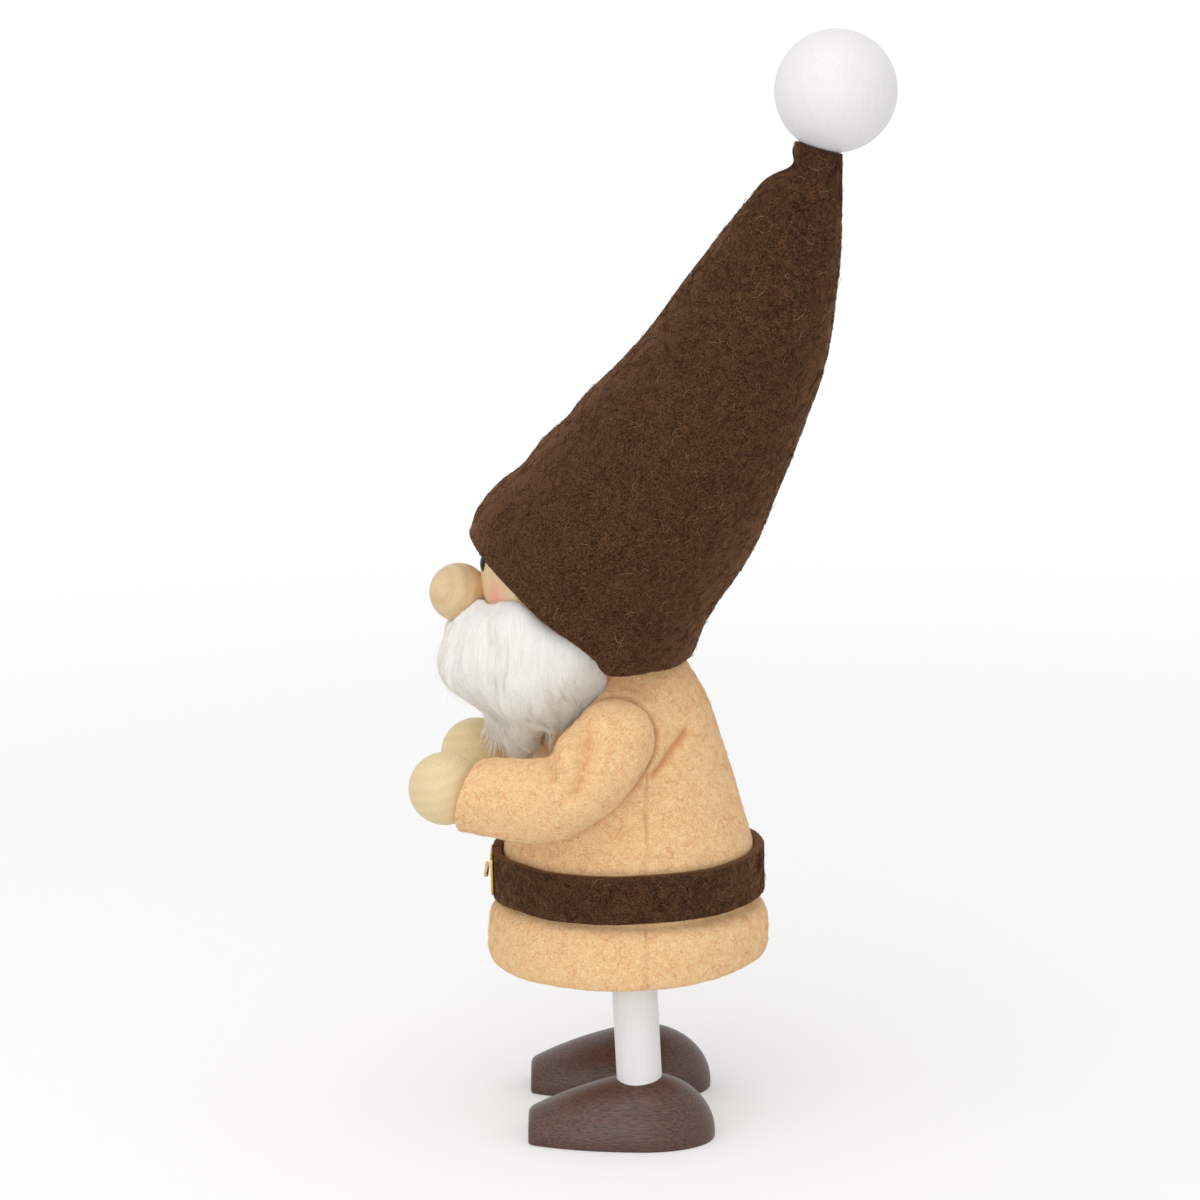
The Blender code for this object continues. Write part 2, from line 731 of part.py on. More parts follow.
def make_hat_filling(wire_path):
    bore = add_cutter("wire_bore_hat", bore_mesh("hat_bore", wire_path, WIRE_RADIUS + FIT))
    centre, way = ball_centre()
    ball = add_part("hat_ball", ball_mesh("hat_ball", BALL_RADIUS, centre), white_wood)
    deeper = [*wire_path[-3:-1], wire_path[-1] + way * FIT]
    ball_bore = bore_mesh("ball_bore", deeper, WIRE_RADIUS + FIT)
    boolean(ball, add_cutter("wire_bore_ball", ball_bore))

    inset = HAT_FELT + WADDING_GAP
    first, last = HEAD_RADIUS - WADDING_OVERLAP, HAT_LENGTH - WADDING_END_GAP
    stops = [first + (last - first) * k / (WADDING_RINGS - 1) for k in range(WADDING_RINGS)]
    wadding = add_part("hat_wadding", loft("wadding", [hat_points(s, inset) for s in stops]), wool)
    dome = ball_mesh("wadding_dome", HEAD_RADIUS + WADDING_GAP, HEAD_CENTRE)
    boolean(wadding, add_cutter("wadding_dome", dome))
    boolean(wadding, bore)
    add_part("hat_wire", wire_curve("hat_wire", wire_path, WIRE_RADIUS), steel)


# Arms

def pivot_of(side):
    """The pivot of an arm, a little out from the coat's side."""
    return Vector((side * (coat_radius(PIVOT_HEIGHT) + PIVOT_PROUD), PIVOT_DEPTH, PIVOT_HEIGHT))


def arm_stations(side, route):
    """Smoothed centre, upper radius, lower radius and half width, from the pivot to the cuff."""
    rows = [(0, 0, 0, *(SHOULDER_BALL_RADIUS,) * 3)]
    rows += [(side * out, *rest) for out, *rest in route]
    return smooth_path(rows)


def arm_frame(rows, i):
    """Direction along the arm, across it and over it at one station."""
    before, after = rows[max(0, i - 2)], rows[min(len(rows) - 1, i + 2)]
    along = (Vector(after[:3]) - Vector(before[:3])).normalized()
    across = Vector((1, 0, 0))
    across = (across - along * across.dot(along)).normalized()
    over = across.cross(along)
    if over.z < 0:
        over = -over
    return along, across, over


def sleeve_mesh(name, rows, growth, past_cuff=0.0):
    """A sleeve's skin with a ball end about its pivot, grown by an amount or, below 0, shrunk."""
    angles = [2 * pi * k / SLEEVE_SEGMENTS for k in range(SLEEVE_SEGMENTS)]
    rings = []
    along, across, over = arm_frame(rows, 0)
    radius = SHOULDER_BALL_RADIUS + growth
    for latitude in BALL_END_LATITUDES:
        out, depth = radius * cos(radians(latitude)), radius * sin(radians(latitude))
        rings.append([along * depth + (across * cos(a) + over * sin(a)) * out for a in angles])
    for i, (x, y, z, above, below, half) in enumerate(rows):
        along, across, over = arm_frame(rows, i)
        centre = Vector((x, y, z))
        last = i == len(rows) - 1
        ring = []
        for a in angles:
            height = (above if sin(a) > 0 else below) + growth
            point = centre + across * (half + growth) * cos(a) + over * height * sin(a)
            if last:
                point += along * (past_cuff - height * sin(a) * tan(CUFF_SLANT))
            ring.append(point)
        rings.append(ring)
    return loft(name, rings)


def slot_mesh(name, side):
    """A level slice that clears the wire stub while the arm swings about its pivot."""
    reach = 2 * SHOULDER_BALL_RADIUS
    start = -STUB_SLOT_MARGIN
    sweep = ARM_SWING + 2 * STUB_SLOT_MARGIN
    half = WIRE_RADIUS + 2 * FIT
    edge = [(0.0, 0.0)]
    for k in range(SWEEP_STEPS + 1):
        angle = start + sweep * k / SWEEP_STEPS
        edge.append((-side * reach * cos(angle), reach * sin(angle)))
    rings = [[Vector((x, y, z)) for x, y in edge] for z in (-half, half)]
    return loft(name, rings)


def make_arm(name, side, route):
    """A hollow sleeve, a wire and a hand that swing together about the shoulder.

    It returns the socket of the ball end, and the sleeve's clear shape from rest to its full swing.
    """
    rows = arm_stations(side, route)
    joint = empty(f"arm_{name}_pivot", pivot_of(side), doll)
    sleeve = add_part(f"sleeve_{name}", sleeve_mesh("sleeve", rows, 0), coat_felt, joint)
    inside = sleeve_mesh("sleeve_inside", rows, -COAT_FELT, past_cuff=COAT_FELT)
    boolean(sleeve, add_cutter(f"sleeve_inside_{name}", inside, joint))
    boolean(sleeve, add_cutter(f"stub_slot_{name}", slot_mesh("stub_slot", side), joint))

    along = arm_frame(rows, len(rows) - 1)[0]
    cuff = Vector(rows[-1][:3])
    hand_centre = cuff + along * CUFF_TO_HAND + Vector((0, 0, HAND_RISE))
    hand = add_part(f"hand_{name}", ball_mesh("hand", HAND_RADIUS, hand_centre, SMALL_SEGMENTS), beech, joint)
    way = (hand_centre - cuff).normalized()
    wire_end = hand_centre - way * (HAND_RADIUS - WIRE_IN_HAND)
    path = [Vector(row[:3]) for row in rows[::2]] + [wire_end]
    add_part(f"arm_wire_{name}", wire_curve("arm_wire", path, WIRE_RADIUS), steel, joint)
    bore = bore_mesh("hand_bore", [*path[-3:-1], wire_end + way * FIT], WIRE_RADIUS + FIT)
    boolean(hand, add_cutter(f"hand_bore_{name}", bore, joint))

    socket = ball_mesh("socket", SHOULDER_BALL_RADIUS + RUNNING_GAP, segments=SMALL_SEGMENTS)
    clear = sleeve_mesh("sleeve_clear", rows, SOFT_GAP)
    swept = []
    for k in range(ARMHOLE_STEPS + 1):
        tool = add_cutter(f"sleeve_clear_{name}_{k}", clear, joint)
        tool.rotation_euler.z = side * ARM_SWING * k / ARMHOLE_STEPS
        swept.append(tool)
    return add_cutter(f"shoulder_socket_{name}", socket, joint), swept


def make_shoulder_wire():
    """One straight wire through the body, whose ends reach almost to the two pivots."""
    ends = [pivot_of(side) - Vector((side * STUB_END_GAP, 0, 0)) for side in (-1, 1)]
    add_part("shoulder_wire", wire_curve("shoulder_wire", ends, WIRE_RADIUS), steel)
    return add_cutter("shoulder_bore", bore_mesh("shoulder_bore", ends, WIRE_RADIUS + FIT))


# Beard

def lock_mesh(name, root, tip, radius):
    """A hanging lock of wool, full at its root and drawn out to a point."""
    root = HEAD_CENTRE + Vector(root)
    run = HEAD_CENTRE + Vector(tip) - root
    turn_to = run.to_track_quat("Z", "Y")
    rings = []
    angles = [2 * pi * k / LOCK_SEGMENTS for k in range(LOCK_SEGMENTS)]
    for share, width in LOCK_PROFILE:
        rings.append(
            [root + run * share + turn_to @ Vector((cos(a), sin(a), 0)) * radius * width for a in angles]
        )
    return loft(name, rings)


def make_beard(brim_corner, brim_slope, tools):
    """A soft mass of wool under the nose, which hangs in locks between the arms."""
    rings = []
    for front, back, half, height in smooth_path(BEARD_MASS, 2):
        middle, reach = (front + back) / 2, (back - front) / 2
        angles = [2 * pi * k / BEARD_SEGMENTS for k in range(BEARD_SEGMENTS)]
        centre = HEAD_CENTRE + Vector((0, middle, height))
        rings.append([centre + Vector((half * sin(a), -reach * cos(a), 0)) for a in angles])
    beard = add_part("beard", loft("beard", rings[::-1]), wool)
    for i, (root, tip, radius) in enumerate(BEARD_LOCKS):
        boolean(beard, add_cutter(f"beard_lock_{i}", lock_mesh("lock", root, tip, radius)), "UNION")
    for tool in tools:
        boolean(beard, tool)
    head = ball_mesh("beard_head", HEAD_RADIUS + SOFT_GAP, HEAD_CENTRE)
    boolean(beard, add_cutter("beard_head", head))
    ball = nose_mesh("beard_nose", SOFT_GAP)[0]
    boolean(beard, add_cutter("beard_nose", ball))

    line = [(radius + SOFT_GAP, height) for radius, height in coat_line()]
    top = (0, COLLAR_HEIGHT + SOFT_GAP)
    bell = add_cutter("beard_coat", outline_mesh("bell", [top, *line, (0, HEM_HEIGHT)]))
    turn(bell)
    boolean(beard, bell)

    # The wool stops at a slab that lies along the slanted brim
    slant = atan2(brim_slope.z, -brim_slope.y)
    reach = HEAD_RADIUS * 3
    slab = add_cutter("beard_brim", box_mesh("slab", (-reach, -reach, 0), (reach, reach, reach)))
    slab.rotation_euler.x = -slant
    slab.location = brim_corner - Vector((0, sin(slant), cos(slant))) * SOFT_GAP
    boolean(beard, slab)


clear_scene()
parts = new_collection("wooden_doll")
cutters = new_collection("cutters")

beech = finish("beech_wood", "#e2c49c", 0.55)
white_wood = finish("white_painted_wood", "#eceae6", 0.4)
stained_wood = finish("stained_wood", "#5c463f", 0.4)
coat_felt = finish("apricot_felt", "#e7bd8e", 0.95)
hat_felt = finish("brown_felt", "#4e3528", 0.95)
wool = finish("white_wool", "#e8e4da", 0.95)
brass = finish("brass", "#c9a040", 0.3, 1.0)
steel = finish("steel_wire", "#a0a0a0", 0.35, 1.0)
black_gloss = finish("black_gloss", "#101010", 0.2)

hand_front = PIVOT_DEPTH + LEFT_ARM[-1][1] - CUFF_TO_HAND - HAND_RADIUS
ball_back = ball_centre()[0].y + BALL_RADIUS
doll = empty("doll_axis", (0, -(hand_front + ball_back) / 2, 0))

leg_bores = [make_foot(name, side) for name, side in (("left", 1), ("right", -1))]
left_socket, left_swept = make_arm("left", 1, LEFT_ARM)
right_socket, right_swept = make_arm("right", -1, RIGHT_ARM)
sockets = [left_socket, right_socket]
wire_path = hat_wire_path()
neck_bore = make_head(wire_path)
shoulder_bore = make_shoulder_wire()
make_body([neck_bore, shoulder_bore, *sockets, *leg_bores])
collar_cut = add_cutter("collar_cut", ball_mesh("collar_cut", HEAD_RADIUS + FIT, HEAD_CENTRE))
make_coat([collar_cut, *sockets, *left_swept, *right_swept])
make_buckle(make_belt())
brim_corner, brim_slope = make_hat()
make_hat_filling(wire_path)
make_beard(brim_corner, brim_slope, [left_swept[0], right_swept[0]])
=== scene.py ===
# %% [markdown]
# # A wooden gnome doll in felt
#
# The doll stands 14.6 cm tall. Its head, nose, hands, legs and shoes are turned wood, its coat, hat
# and belt are cut from wool felt, and its beard is a tuft of loose white wool. The solids of every
# piece already lie in one shared frame, in metres, with the doll facing -Y and its left side at +X.
# Here each solid gets a finer form and a finish, so it is worth keeping real sizes in sight: all
# lengths below are written in millimetres and multiplied by MM.

# %% Load the solids and measure them
import json
from math import cos, pi, radians, sin, tan

import bmesh
import bpy
import numpy as np
from mathutils import Matrix, Vector, noise
from mathutils.bvhtree import BVHTree


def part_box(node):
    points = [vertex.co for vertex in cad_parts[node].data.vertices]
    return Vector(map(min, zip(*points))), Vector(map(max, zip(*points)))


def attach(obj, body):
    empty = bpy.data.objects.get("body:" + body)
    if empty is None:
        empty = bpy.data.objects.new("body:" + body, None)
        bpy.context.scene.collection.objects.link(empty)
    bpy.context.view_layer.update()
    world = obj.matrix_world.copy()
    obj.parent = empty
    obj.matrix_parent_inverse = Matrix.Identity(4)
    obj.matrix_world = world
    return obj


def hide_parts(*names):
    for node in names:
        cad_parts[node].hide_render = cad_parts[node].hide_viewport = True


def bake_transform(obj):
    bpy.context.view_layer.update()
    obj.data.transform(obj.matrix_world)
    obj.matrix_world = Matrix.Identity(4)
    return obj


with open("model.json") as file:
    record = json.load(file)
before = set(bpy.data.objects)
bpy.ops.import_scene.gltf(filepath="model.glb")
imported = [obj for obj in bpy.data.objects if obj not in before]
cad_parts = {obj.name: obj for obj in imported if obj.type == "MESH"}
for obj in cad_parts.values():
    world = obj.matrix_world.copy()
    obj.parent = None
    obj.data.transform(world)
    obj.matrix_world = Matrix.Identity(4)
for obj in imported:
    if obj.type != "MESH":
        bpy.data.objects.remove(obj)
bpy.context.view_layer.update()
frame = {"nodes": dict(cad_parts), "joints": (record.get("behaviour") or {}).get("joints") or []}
MM = 0.001

# %% [markdown]
# ## The view
#
# A long lens half a metre away flattens the doll a little, as a product photographer would want. The
# camera looks at its left side from 11 degrees above. A camera is pointed by turning its own -Z axis
# along the line of sight, which to_track_quat does.

# %% Camera
VIEW_TARGET = Vector((0, -6.527, 70.5)) * MM
VIEW_DISTANCE = 540 * MM
VIEW_ELEVATION = radians(11)
LENS_MM = 122.3

sight = Vector((cos(VIEW_ELEVATION), 0, sin(VIEW_ELEVATION)))
camera = bpy.data.objects.new("camera", bpy.data.cameras.new("camera"))
camera.data.lens = LENS_MM
camera.data.clip_start = 50 * MM
camera.location = VIEW_TARGET + sight * VIEW_DISTANCE
camera.rotation_euler = (-sight).to_track_quat("-Z", "Y").to_euler()
bpy.context.scene.collection.objects.link(camera)
bpy.context.scene.camera = camera
print("camera at mm", [round(c / MM) for c in camera.location])

# %% [markdown]
# ## Materials
#
# A material here is a small network of nodes. One function adds a node, applies its settings and
# fills its inputs: a socket is linked, and anything else is a plain value. Colours are written as the
# hex values a paint program shows, so another function turns them to the linear numbers that a
# renderer adds up. Patterns take the object's own coordinates, scaled so that one unit is 1 mm.

# %% Node and colour helpers
WHITE = (1, 1, 1, 1)


def fill(tree, node, inputs):
    """Links a node's inputs where they are sockets, and sets the others."""
    for key, value in inputs.items():
        if isinstance(value, bpy.types.NodeSocket):
            tree.links.new(value, node.inputs[key])
        else:
            node.inputs[key].default_value = value


def add(tree, kind, inputs, output=0, **settings):
    """Adds a shader node with its settings, fills its inputs and gives one of its outputs."""
    node = tree.nodes.new("ShaderNode" + kind)
    for key, value in settings.items():
        setattr(node, key, value)
    fill(tree, node, inputs)
    return node.outputs[output]


def linear(hex_colour):
    """The linear RGBA of an sRGB hex value."""
    parts = [int(hex_colour[i : i + 2], 16) / 255 for i in (1, 3, 5)]
    return (*(p / 12.92 if p <= 0.04045 else ((p + 0.055) / 1.055) ** 2.4 for p in parts), 1)


def new_material(name, roughness, ior=1.5, metallic=None):
    """A material with its tree, its shader and coordinates in millimetres."""
    material = bpy.data.materials.new(name)
    material.use_nodes = True
    tree = material.node_tree
    shader = tree.nodes["Principled BSDF"]
    body = {"IOR": ior} if metallic is None else {"Metallic": metallic}
    fill(tree, shader, {"Roughness": roughness, **body})
    place = add(tree, "TexCoord", {}, "Object")
    place = add(tree, "VectorMath", {0: place, "Scale": 1 / MM}, operation="SCALE")
    return material, tree, shader, place


# %% [markdown]
# Two patterns come back in nearly every finish. Wood, wool and drawn metal all have streaks, which
# are a noise drawn out along one direction. And a second tone lies over the first where a pattern
# is high, up to some share.

# %% Streaks and tones
def streaks(tree, place, width_mm, run_mm, detail, lay=(0, 0, 0), roughness=0.5):
    """Noise with streaks of a width and a run, which lie along Z unless a lay turns them."""
    drawn = {"Vector": place, "Rotation": lay, "Scale": (1, 1, run_mm / width_mm)}
    drawn = add(tree, "Mapping", drawn, vector_type="TEXTURE")
    noise_of = {"Vector": drawn, "Scale": 1 / width_mm, "Detail": detail, "Roughness": roughness}
    return add(tree, "TexNoise", noise_of)


def toned(tree, colour, over, pattern, low=0.0, high=1.0, most=1.0, **settings):
    """A colour with another laid over it where the pattern rises from low to high."""
    share = {"Value": pattern, "From Min": low, "From Max": high, "To Max": most}
    share = add(tree, "MapRange", share, **settings)
    return add(tree, "Mix", {0: share, 6: colour, 7: linear(over)}, 2, data_type="RGBA")


# %% [markdown]
# ### Wool felt
#
# Felt is wool pressed until its crimped fibres lock. It has no gloss, and from near by it is a mat of
# short curled lines, lighter and darker than the ground. A wool fibre is about 0.03 mm thick, too
# fine to show from here, so the lines are drawn 0.12 mm wide. Each layer of lines is a noise
# stretched along one direction, on coordinates that a coarser noise has bent, and the layers lie at
# different angles. Sheen stands for the fuzz that catches light along the edges.

# %% Felt
FIBRE_WIDTH_MM = 0.12
FIBRE_RUN_MM = 1.2
CRIMP_MM = 1.0
CRIMP_REACH_MM = 0.9
MOTTLE_MM = 1.0
FIBRE_LAYS = ((0.4, 0.0, 0.3), (1.3, 0.3, 0.2), (-0.9, 0.2, 0.6), (2.2, 0.4, 1.2))


def felt(name, ground, shade, fleck, fleck_share, painted_fold_shade, fuzz):
    """Wool felt: patches of a second tone, curled fleck lines, painted shade in folds, fuzz at its
    edges.
    """
    material, tree, shader, place = new_material(name, roughness=0.92, ior=1.45)
    bend = add(tree, "TexNoise", {"Vector": place, "Scale": 1 / CRIMP_MM, "Detail": 2.0}, "Color")
    bent = {0: bend, 1: (CRIMP_REACH_MM,) * 3, 2: place}
    bent = add(tree, "VectorMath", bent, operation="MULTIPLY_ADD")
    lines = 0.0
    for lay in FIBRE_LAYS:
        layer = streaks(tree, bent, FIBRE_WIDTH_MM, FIBRE_RUN_MM, 0.0, lay)
        lines = add(tree, "Math", {0: lines, 1: layer}, operation="MAXIMUM")
    mottle = {"Vector": bent, "Scale": 1 / MOTTLE_MM, "Detail": 5.0, "Roughness": 0.75}
    colour = toned(tree, linear(ground), shade, add(tree, "TexNoise", mottle), 0.38, 0.62)
    colour = toned(tree, colour, fleck, lines, 0.52, 0.74, fleck_share)
    # Painted shade: the fold colour darkens the felt wherever the mesh's attribute marks a fold, seam or
    # groove.
    colour = toned(tree, colour, painted_fold_shade, add(tree, "Attribute", {}, "Fac", attribute_name="painted_fold_shade"))
    look = {
        "Base Color": colour,
        "Normal": add(tree, "Bump", {"Height": lines, "Strength": 0.5, "Distance": 0.2 * MM}),
        "Sheen Weight": 0.7,
        "Sheen Roughness": 0.45,
        "Sheen Tint": linear(fuzz),
        "Specular IOR Level": 0.15,
    }
    fill(tree, shader, look)
    return material


# The second last colour of each felt, #1a0f09 and #c2733f, is painted shade for its folds, seams and
# grooves.
brown_felt = felt("brown_wool_felt", "#1f1008", "#301a0e", "#6f4d34", 0.7, "#1a0f09", "#a87856")
apricot_felt = felt("apricot_wool_felt", "#e6a771", "#f0c288", "#fadeae", 0.8, "#c2733f", "#dcc399")
print("felt lines mm", FIBRE_WIDTH_MM, "by", FIBRE_RUN_MM)

# %% [markdown]
# ### Beech, turned and left bare
#
# Beech is pale and close-grained. What shows on a turned ball is faint growth rings, about 1.5 mm
# apart, and many short dark flecks along the grain, about 0.15 mm wide and 1.2 mm long. The rings are
# a wave texture about an axis outside the ball, as the ball is cut from a stick of a wider board. A
# wave of rings repeats every 2 pi / 20 of a unit, which sets its scale. The grain of each ball lies
# its own way, so the function takes a rotation. The head also has a pink cheek on each side, painted
# thinly: a soft round patch about the cheek's own place.

# %% Beech
RING_MM = 1.5
PITH_MM = (9.0, 7.0, 0.0)
RAY_WIDTH_MM = 0.16
RAY_RUN_MM = 1.3
BLUSH_MM = 3.6
BLUSH = "#ee9d88"


def beech(name, lay, ground, ring, ray, cheeks=()):
    """Bare turned beech, with its grain along a direction, and a blush round each cheek."""
    material, tree, shader, place = new_material(name, roughness=0.5)
    grain = add(tree, "Mapping", {"Vector": place, "Rotation": lay, "Location": PITH_MM})
    waves = {"Vector": grain, "Scale": 2 * pi / 20 / RING_MM, "Distortion": 2.2}
    waves |= {"Detail": 2.0, "Detail Scale": 0.6}
    rings = add(tree, "TexWave", waves, "Fac", wave_type="RINGS", rings_direction="Z")
    rays = streaks(tree, grain, RAY_WIDTH_MM, RAY_RUN_MM, 1.0)
    colour = toned(tree, linear(ground), ring, rings, most=0.45)
    colour = toned(tree, colour, ray, rays, 0.55, 0.75, 0.6)
    for cheek in cheeks:
        apart = {0: place, 1: tuple(c / MM for c in cheek)}
        apart = add(tree, "VectorMath", apart, "Value", operation="DISTANCE")
        soft = {"interpolation_type": "SMOOTHSTEP"}
        colour = toned(tree, colour, BLUSH, apart, BLUSH_MM, 0.2, 0.75, **soft)
    bump = add(tree, "Bump", {"Height": rays, "Strength": 0.12, "Distance": 0.1 * MM})
    fill(tree, shader, {"Base Color": colour, "Normal": bump})
    return material


# %% [markdown]
# ### White paint and brown stain on wood
#
# The ball on the hat and the legs are dipped in white paint, which leaves a satin skin over a grain
# that can only be felt. The shoes are stained dark brown, so their grain shows as slightly darker
# streaks from toe to heel under a thin satin varnish. Both are the same idea with different weights:
# a noise stretched along the grain that drives a little colour, a little height and the roughness.

# %% Painted and stained wood
PAINT_GRAIN_MM = (0.5, 6.0)
STAIN_GRAIN_MM = (0.17, 1.3)


def coated_wood(name, grain_mm, lay, ground, streak, share, roughness, height_mm):
    """Wood under paint or varnish, with the width, run and direction of its grain."""
    material, tree, shader, place = new_material(name, roughness)
    grain = streaks(tree, place, *grain_mm, 3.0, lay, 0.6)
    satin = {"Value": grain, "To Min": roughness - 0.06, "To Max": roughness + 0.08}
    look = {
        "Base Color": toned(tree, linear(ground), streak, grain, 0.4, 0.7, share),
        "Roughness": add(tree, "MapRange", satin),
        "Normal": add(tree, "Bump", {"Height": grain, "Strength": 0.4, "Distance": height_mm * MM}),
    }
    fill(tree, shader, look)
    return material


ALONG_Z = (0, 0, 0)
ALONG_Y = (pi / 2, 0, 0)
white_paint = coated_wood(
    "white_painted_wood", PAINT_GRAIN_MM, ALONG_Z, "#edecea", "#e4e2df", 0.4, 0.38, 0.03
)
brown_stain = coated_wood(
    "brown_stained_wood", STAIN_GRAIN_MM, ALONG_Y, "#634439", "#2f1c16", 1.0, 0.38, 0.08
)
print("paint and stain made")

# %% [markdown]
# ### Wool, brass, wire and the eyes
#
# Carded sheep's wool is a cloud of pale fibres, matt and a little see-through at its edges. The
# buckle is pressed brass, polished and then handled, so its roughness wanders. The wire is drawn
# steel with fine lines along it. Each eye is a dab of black lacquer, so glossy that hardly anything
# but its highlight shows.

# %% Wool
STRAND_WIDTH_MM = 0.3
STRAND_RUN_MM = 4.0
GLOW_DEPTH_MM = 2.5


def carded_wool(name, ground, shade):
    """Carded wool: upright strands, a little lighter and darker, that light sinks into."""
    material, tree, shader, place = new_material(name, roughness=0.95, ior=1.45)
    strands = streaks(tree, place, STRAND_WIDTH_MM, STRAND_RUN_MM, 2.0)
    look = {
        "Base Color": toned(tree, linear(shade), ground, strands),
        "Normal": add(tree, "Bump", {"Height": strands, "Strength": 0.2, "Distance": 0.1 * MM}),
        "Subsurface Weight": 0.9,
        "Subsurface Radius": (1.0, 0.95, 0.9),
        "Subsurface Scale": GLOW_DEPTH_MM * MM,
        "Sheen Weight": 0.8,
        "Specular IOR Level": 0.1,
    }
    fill(tree, shader, look)
    return material


white_wool = carded_wool("carded_white_wool", "#fffcf5", "#faf6ec")


# %% Metals and lacquer
def worked_metal(name, colour_hex, roughness, width_mm, run_mm):
    """Metal with fine lines of a width and a run, which wander in roughness."""
    material, tree, shader, place = new_material(name, roughness, metallic=1.0)
    lines = streaks(tree, place, width_mm, run_mm, 2.0)
    wear = {"Value": lines, "To Min": roughness - 0.08, "To Max": roughness + 0.12}
    look = {
        "Base Color": linear(colour_hex),
        "Roughness": add(tree, "MapRange", wear),
        "Normal": add(tree, "Bump", {"Height": lines, "Strength": 0.15, "Distance": 0.02 * MM}),
    }
    fill(tree, shader, look)
    return material


pressed_brass = worked_metal("pressed_brass", "#cfa348", 0.28, 0.3, 1.0)
drawn_steel = worked_metal("drawn_steel_wire", "#9c9c9e", 0.35, 0.08, 2.0)

black_lacquer, tree, shader, place = new_material("black_lacquer", roughness=0.08)
ripple = add(tree, "TexNoise", {"Vector": place, "Scale": 1.2, "Detail": 1.0})
dip = add(tree, "Bump", {"Height": ripple, "Strength": 0.2, "Distance": 0.1 * MM})
fill(tree, shader, {"Base Color": linear("#0d0c0c"), "Normal": dip, "Specular IOR Level": 0.3})
print("metals and lacquer made")

# %% [markdown]
# ## Making meshes from grids
#
# Nearly every piece of this doll is a skin over a grid of points, in rows and columns: a felt cone is
# rings one above the other, and a turned ball is circles of latitude. Working on the whole grid at
# once with numpy is quick and keeps the code short. The mesh builder below joins neighbours into
# faces, merges the points that fall together at a pole, and turns the skin right side out by the sign
# of its volume.

# %% Mesh helpers
def unit(vectors):
    """The same directions with length 1."""
    return vectors / np.maximum(np.linalg.norm(vectors, axis=-1, keepdims=True), 1e-12)


def around(count):
    """Angles at even steps round a circle."""
    return np.linspace(0, 2 * pi, count, endpoint=False)


def quads(rows, columns, ring=True, shut=False):
    """Faces between neighbours in a grid. ring joins the last column to the first, shut the last row."""
    index = np.arange(rows * columns).reshape(rows, columns)
    if ring:
        index = np.hstack([index, index[:, :1]])
    if shut:
        index = np.vstack([index, index[:1]])
    corners = index[:-1, :-1], index[:-1, 1:], index[1:, 1:], index[1:, :-1]
    return np.stack(corners, -1).reshape(-1, 4)


def mesh_from(name, points, faces):
    """A smooth-shaded mesh from arrays of points and of faces with the same number of corners."""
    data = bpy.data.meshes.new(name)
    corners = faces.shape[1]
    data.vertices.add(len(points))
    data.vertices.foreach_set("co", np.ascontiguousarray(points, np.float32).ravel())
    data.loops.add(faces.size)
    data.loops.foreach_set("vertex_index", np.ascontiguousarray(faces, np.int32).ravel())
    data.polygons.add(len(faces))
    data.polygons.foreach_set("loop_start", np.arange(0, faces.size, corners, dtype=np.int32))
    data.update(calc_edges=True)
    data.validate()
    data.shade_smooth()
    return data


def skin(name, grid, ring=True, shut=False, sharp=None, folds=None, first=0):
    """A closed skin over a grid of rows by columns.

    folds holds the shade painted into folds and seams for the rows from first on; the material reads it."""
    rows, columns = grid.shape[:2]
    data = mesh_from(name, grid.reshape(-1, 3), quads(rows, columns, ring, shut))
    if folds is not None:
        shade = np.zeros((rows, columns), np.float32)
        shade[first : first + len(folds)] = folds
        data.attributes.new("painted_fold_shade", "FLOAT", "POINT").data.foreach_set("value", shade.ravel())
    shape = bmesh.new()
    shape.from_mesh(data)
    bmesh.ops.remove_doubles(shape, verts=shape.verts, dist=1e-7)
    rims = [edge for edge in shape.edges if edge.is_boundary]
    if rims:
        bmesh.ops.holes_fill(shape, edges=rims)
    if shape.calc_volume(signed=True) < 0:
        bmesh.ops.reverse_faces(shape, faces=shape.faces)
    shape.to_mesh(data)
    shape.free()
    data.shade_smooth()
    if sharp is not None:
        data.set_sharp_from_angle(angle=sharp)
    return data


def add_piece(name, data, finish, slot, *replaced, body="doll"):
    """A piece of the doll with its finish, which rides on a body and stands for CAD nodes. slot is not
    used.
    """
    piece = bpy.data.objects.new(name, data)
    bpy.context.scene.collection.objects.link(piece)
    data.materials.append(finish)
    if replaced:
        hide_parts(*replaced)
    if body:
        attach(piece, body)
    return piece


def centre_of(node):
    """The middle of a CAD node's box."""
    low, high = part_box(node)
    return (low + high) / 2


# %% [markdown]
# ## Turned wood
#
# A lathe makes a shape from one outline turned about an axis, and so does this function: the outline
# is pairs of radius and distance along the axis. A ball that a wire or a peg goes into has a drilled
# hole with a small chamfer, and where the lathe let it go it has a flat the size of a pinhead, so a
# turned ball is never quite a sphere.

# %% Lathe
BALL_RINGS = 72
TURN_SEGMENTS = 144
PARTING_FLAT = 0.25 * MM
HOLE_CHAMFER = 0.15 * MM
SHARP = radians(40)


def turned(name, outline, start, way, segments=TURN_SEGMENTS):
    """The outline of (radius, distance) pairs turned about the line from start along way."""
    way = Vector(way).normalized()
    across = way.orthogonal().normalized()
    beside = way.cross(across)
    outline = np.array(outline)
    angles = around(segments)
    cosines, sines = np.cos(angles)[:, None], np.sin(angles)[:, None]
    round_about = cosines * np.array(across) + sines * np.array(beside)
    grid = np.array(start) + outline[:, 1, None, None] * np.array(way)
    grid = grid + outline[:, 0, None, None] * round_about[None]
    return skin(name, grid, sharp=SHARP)


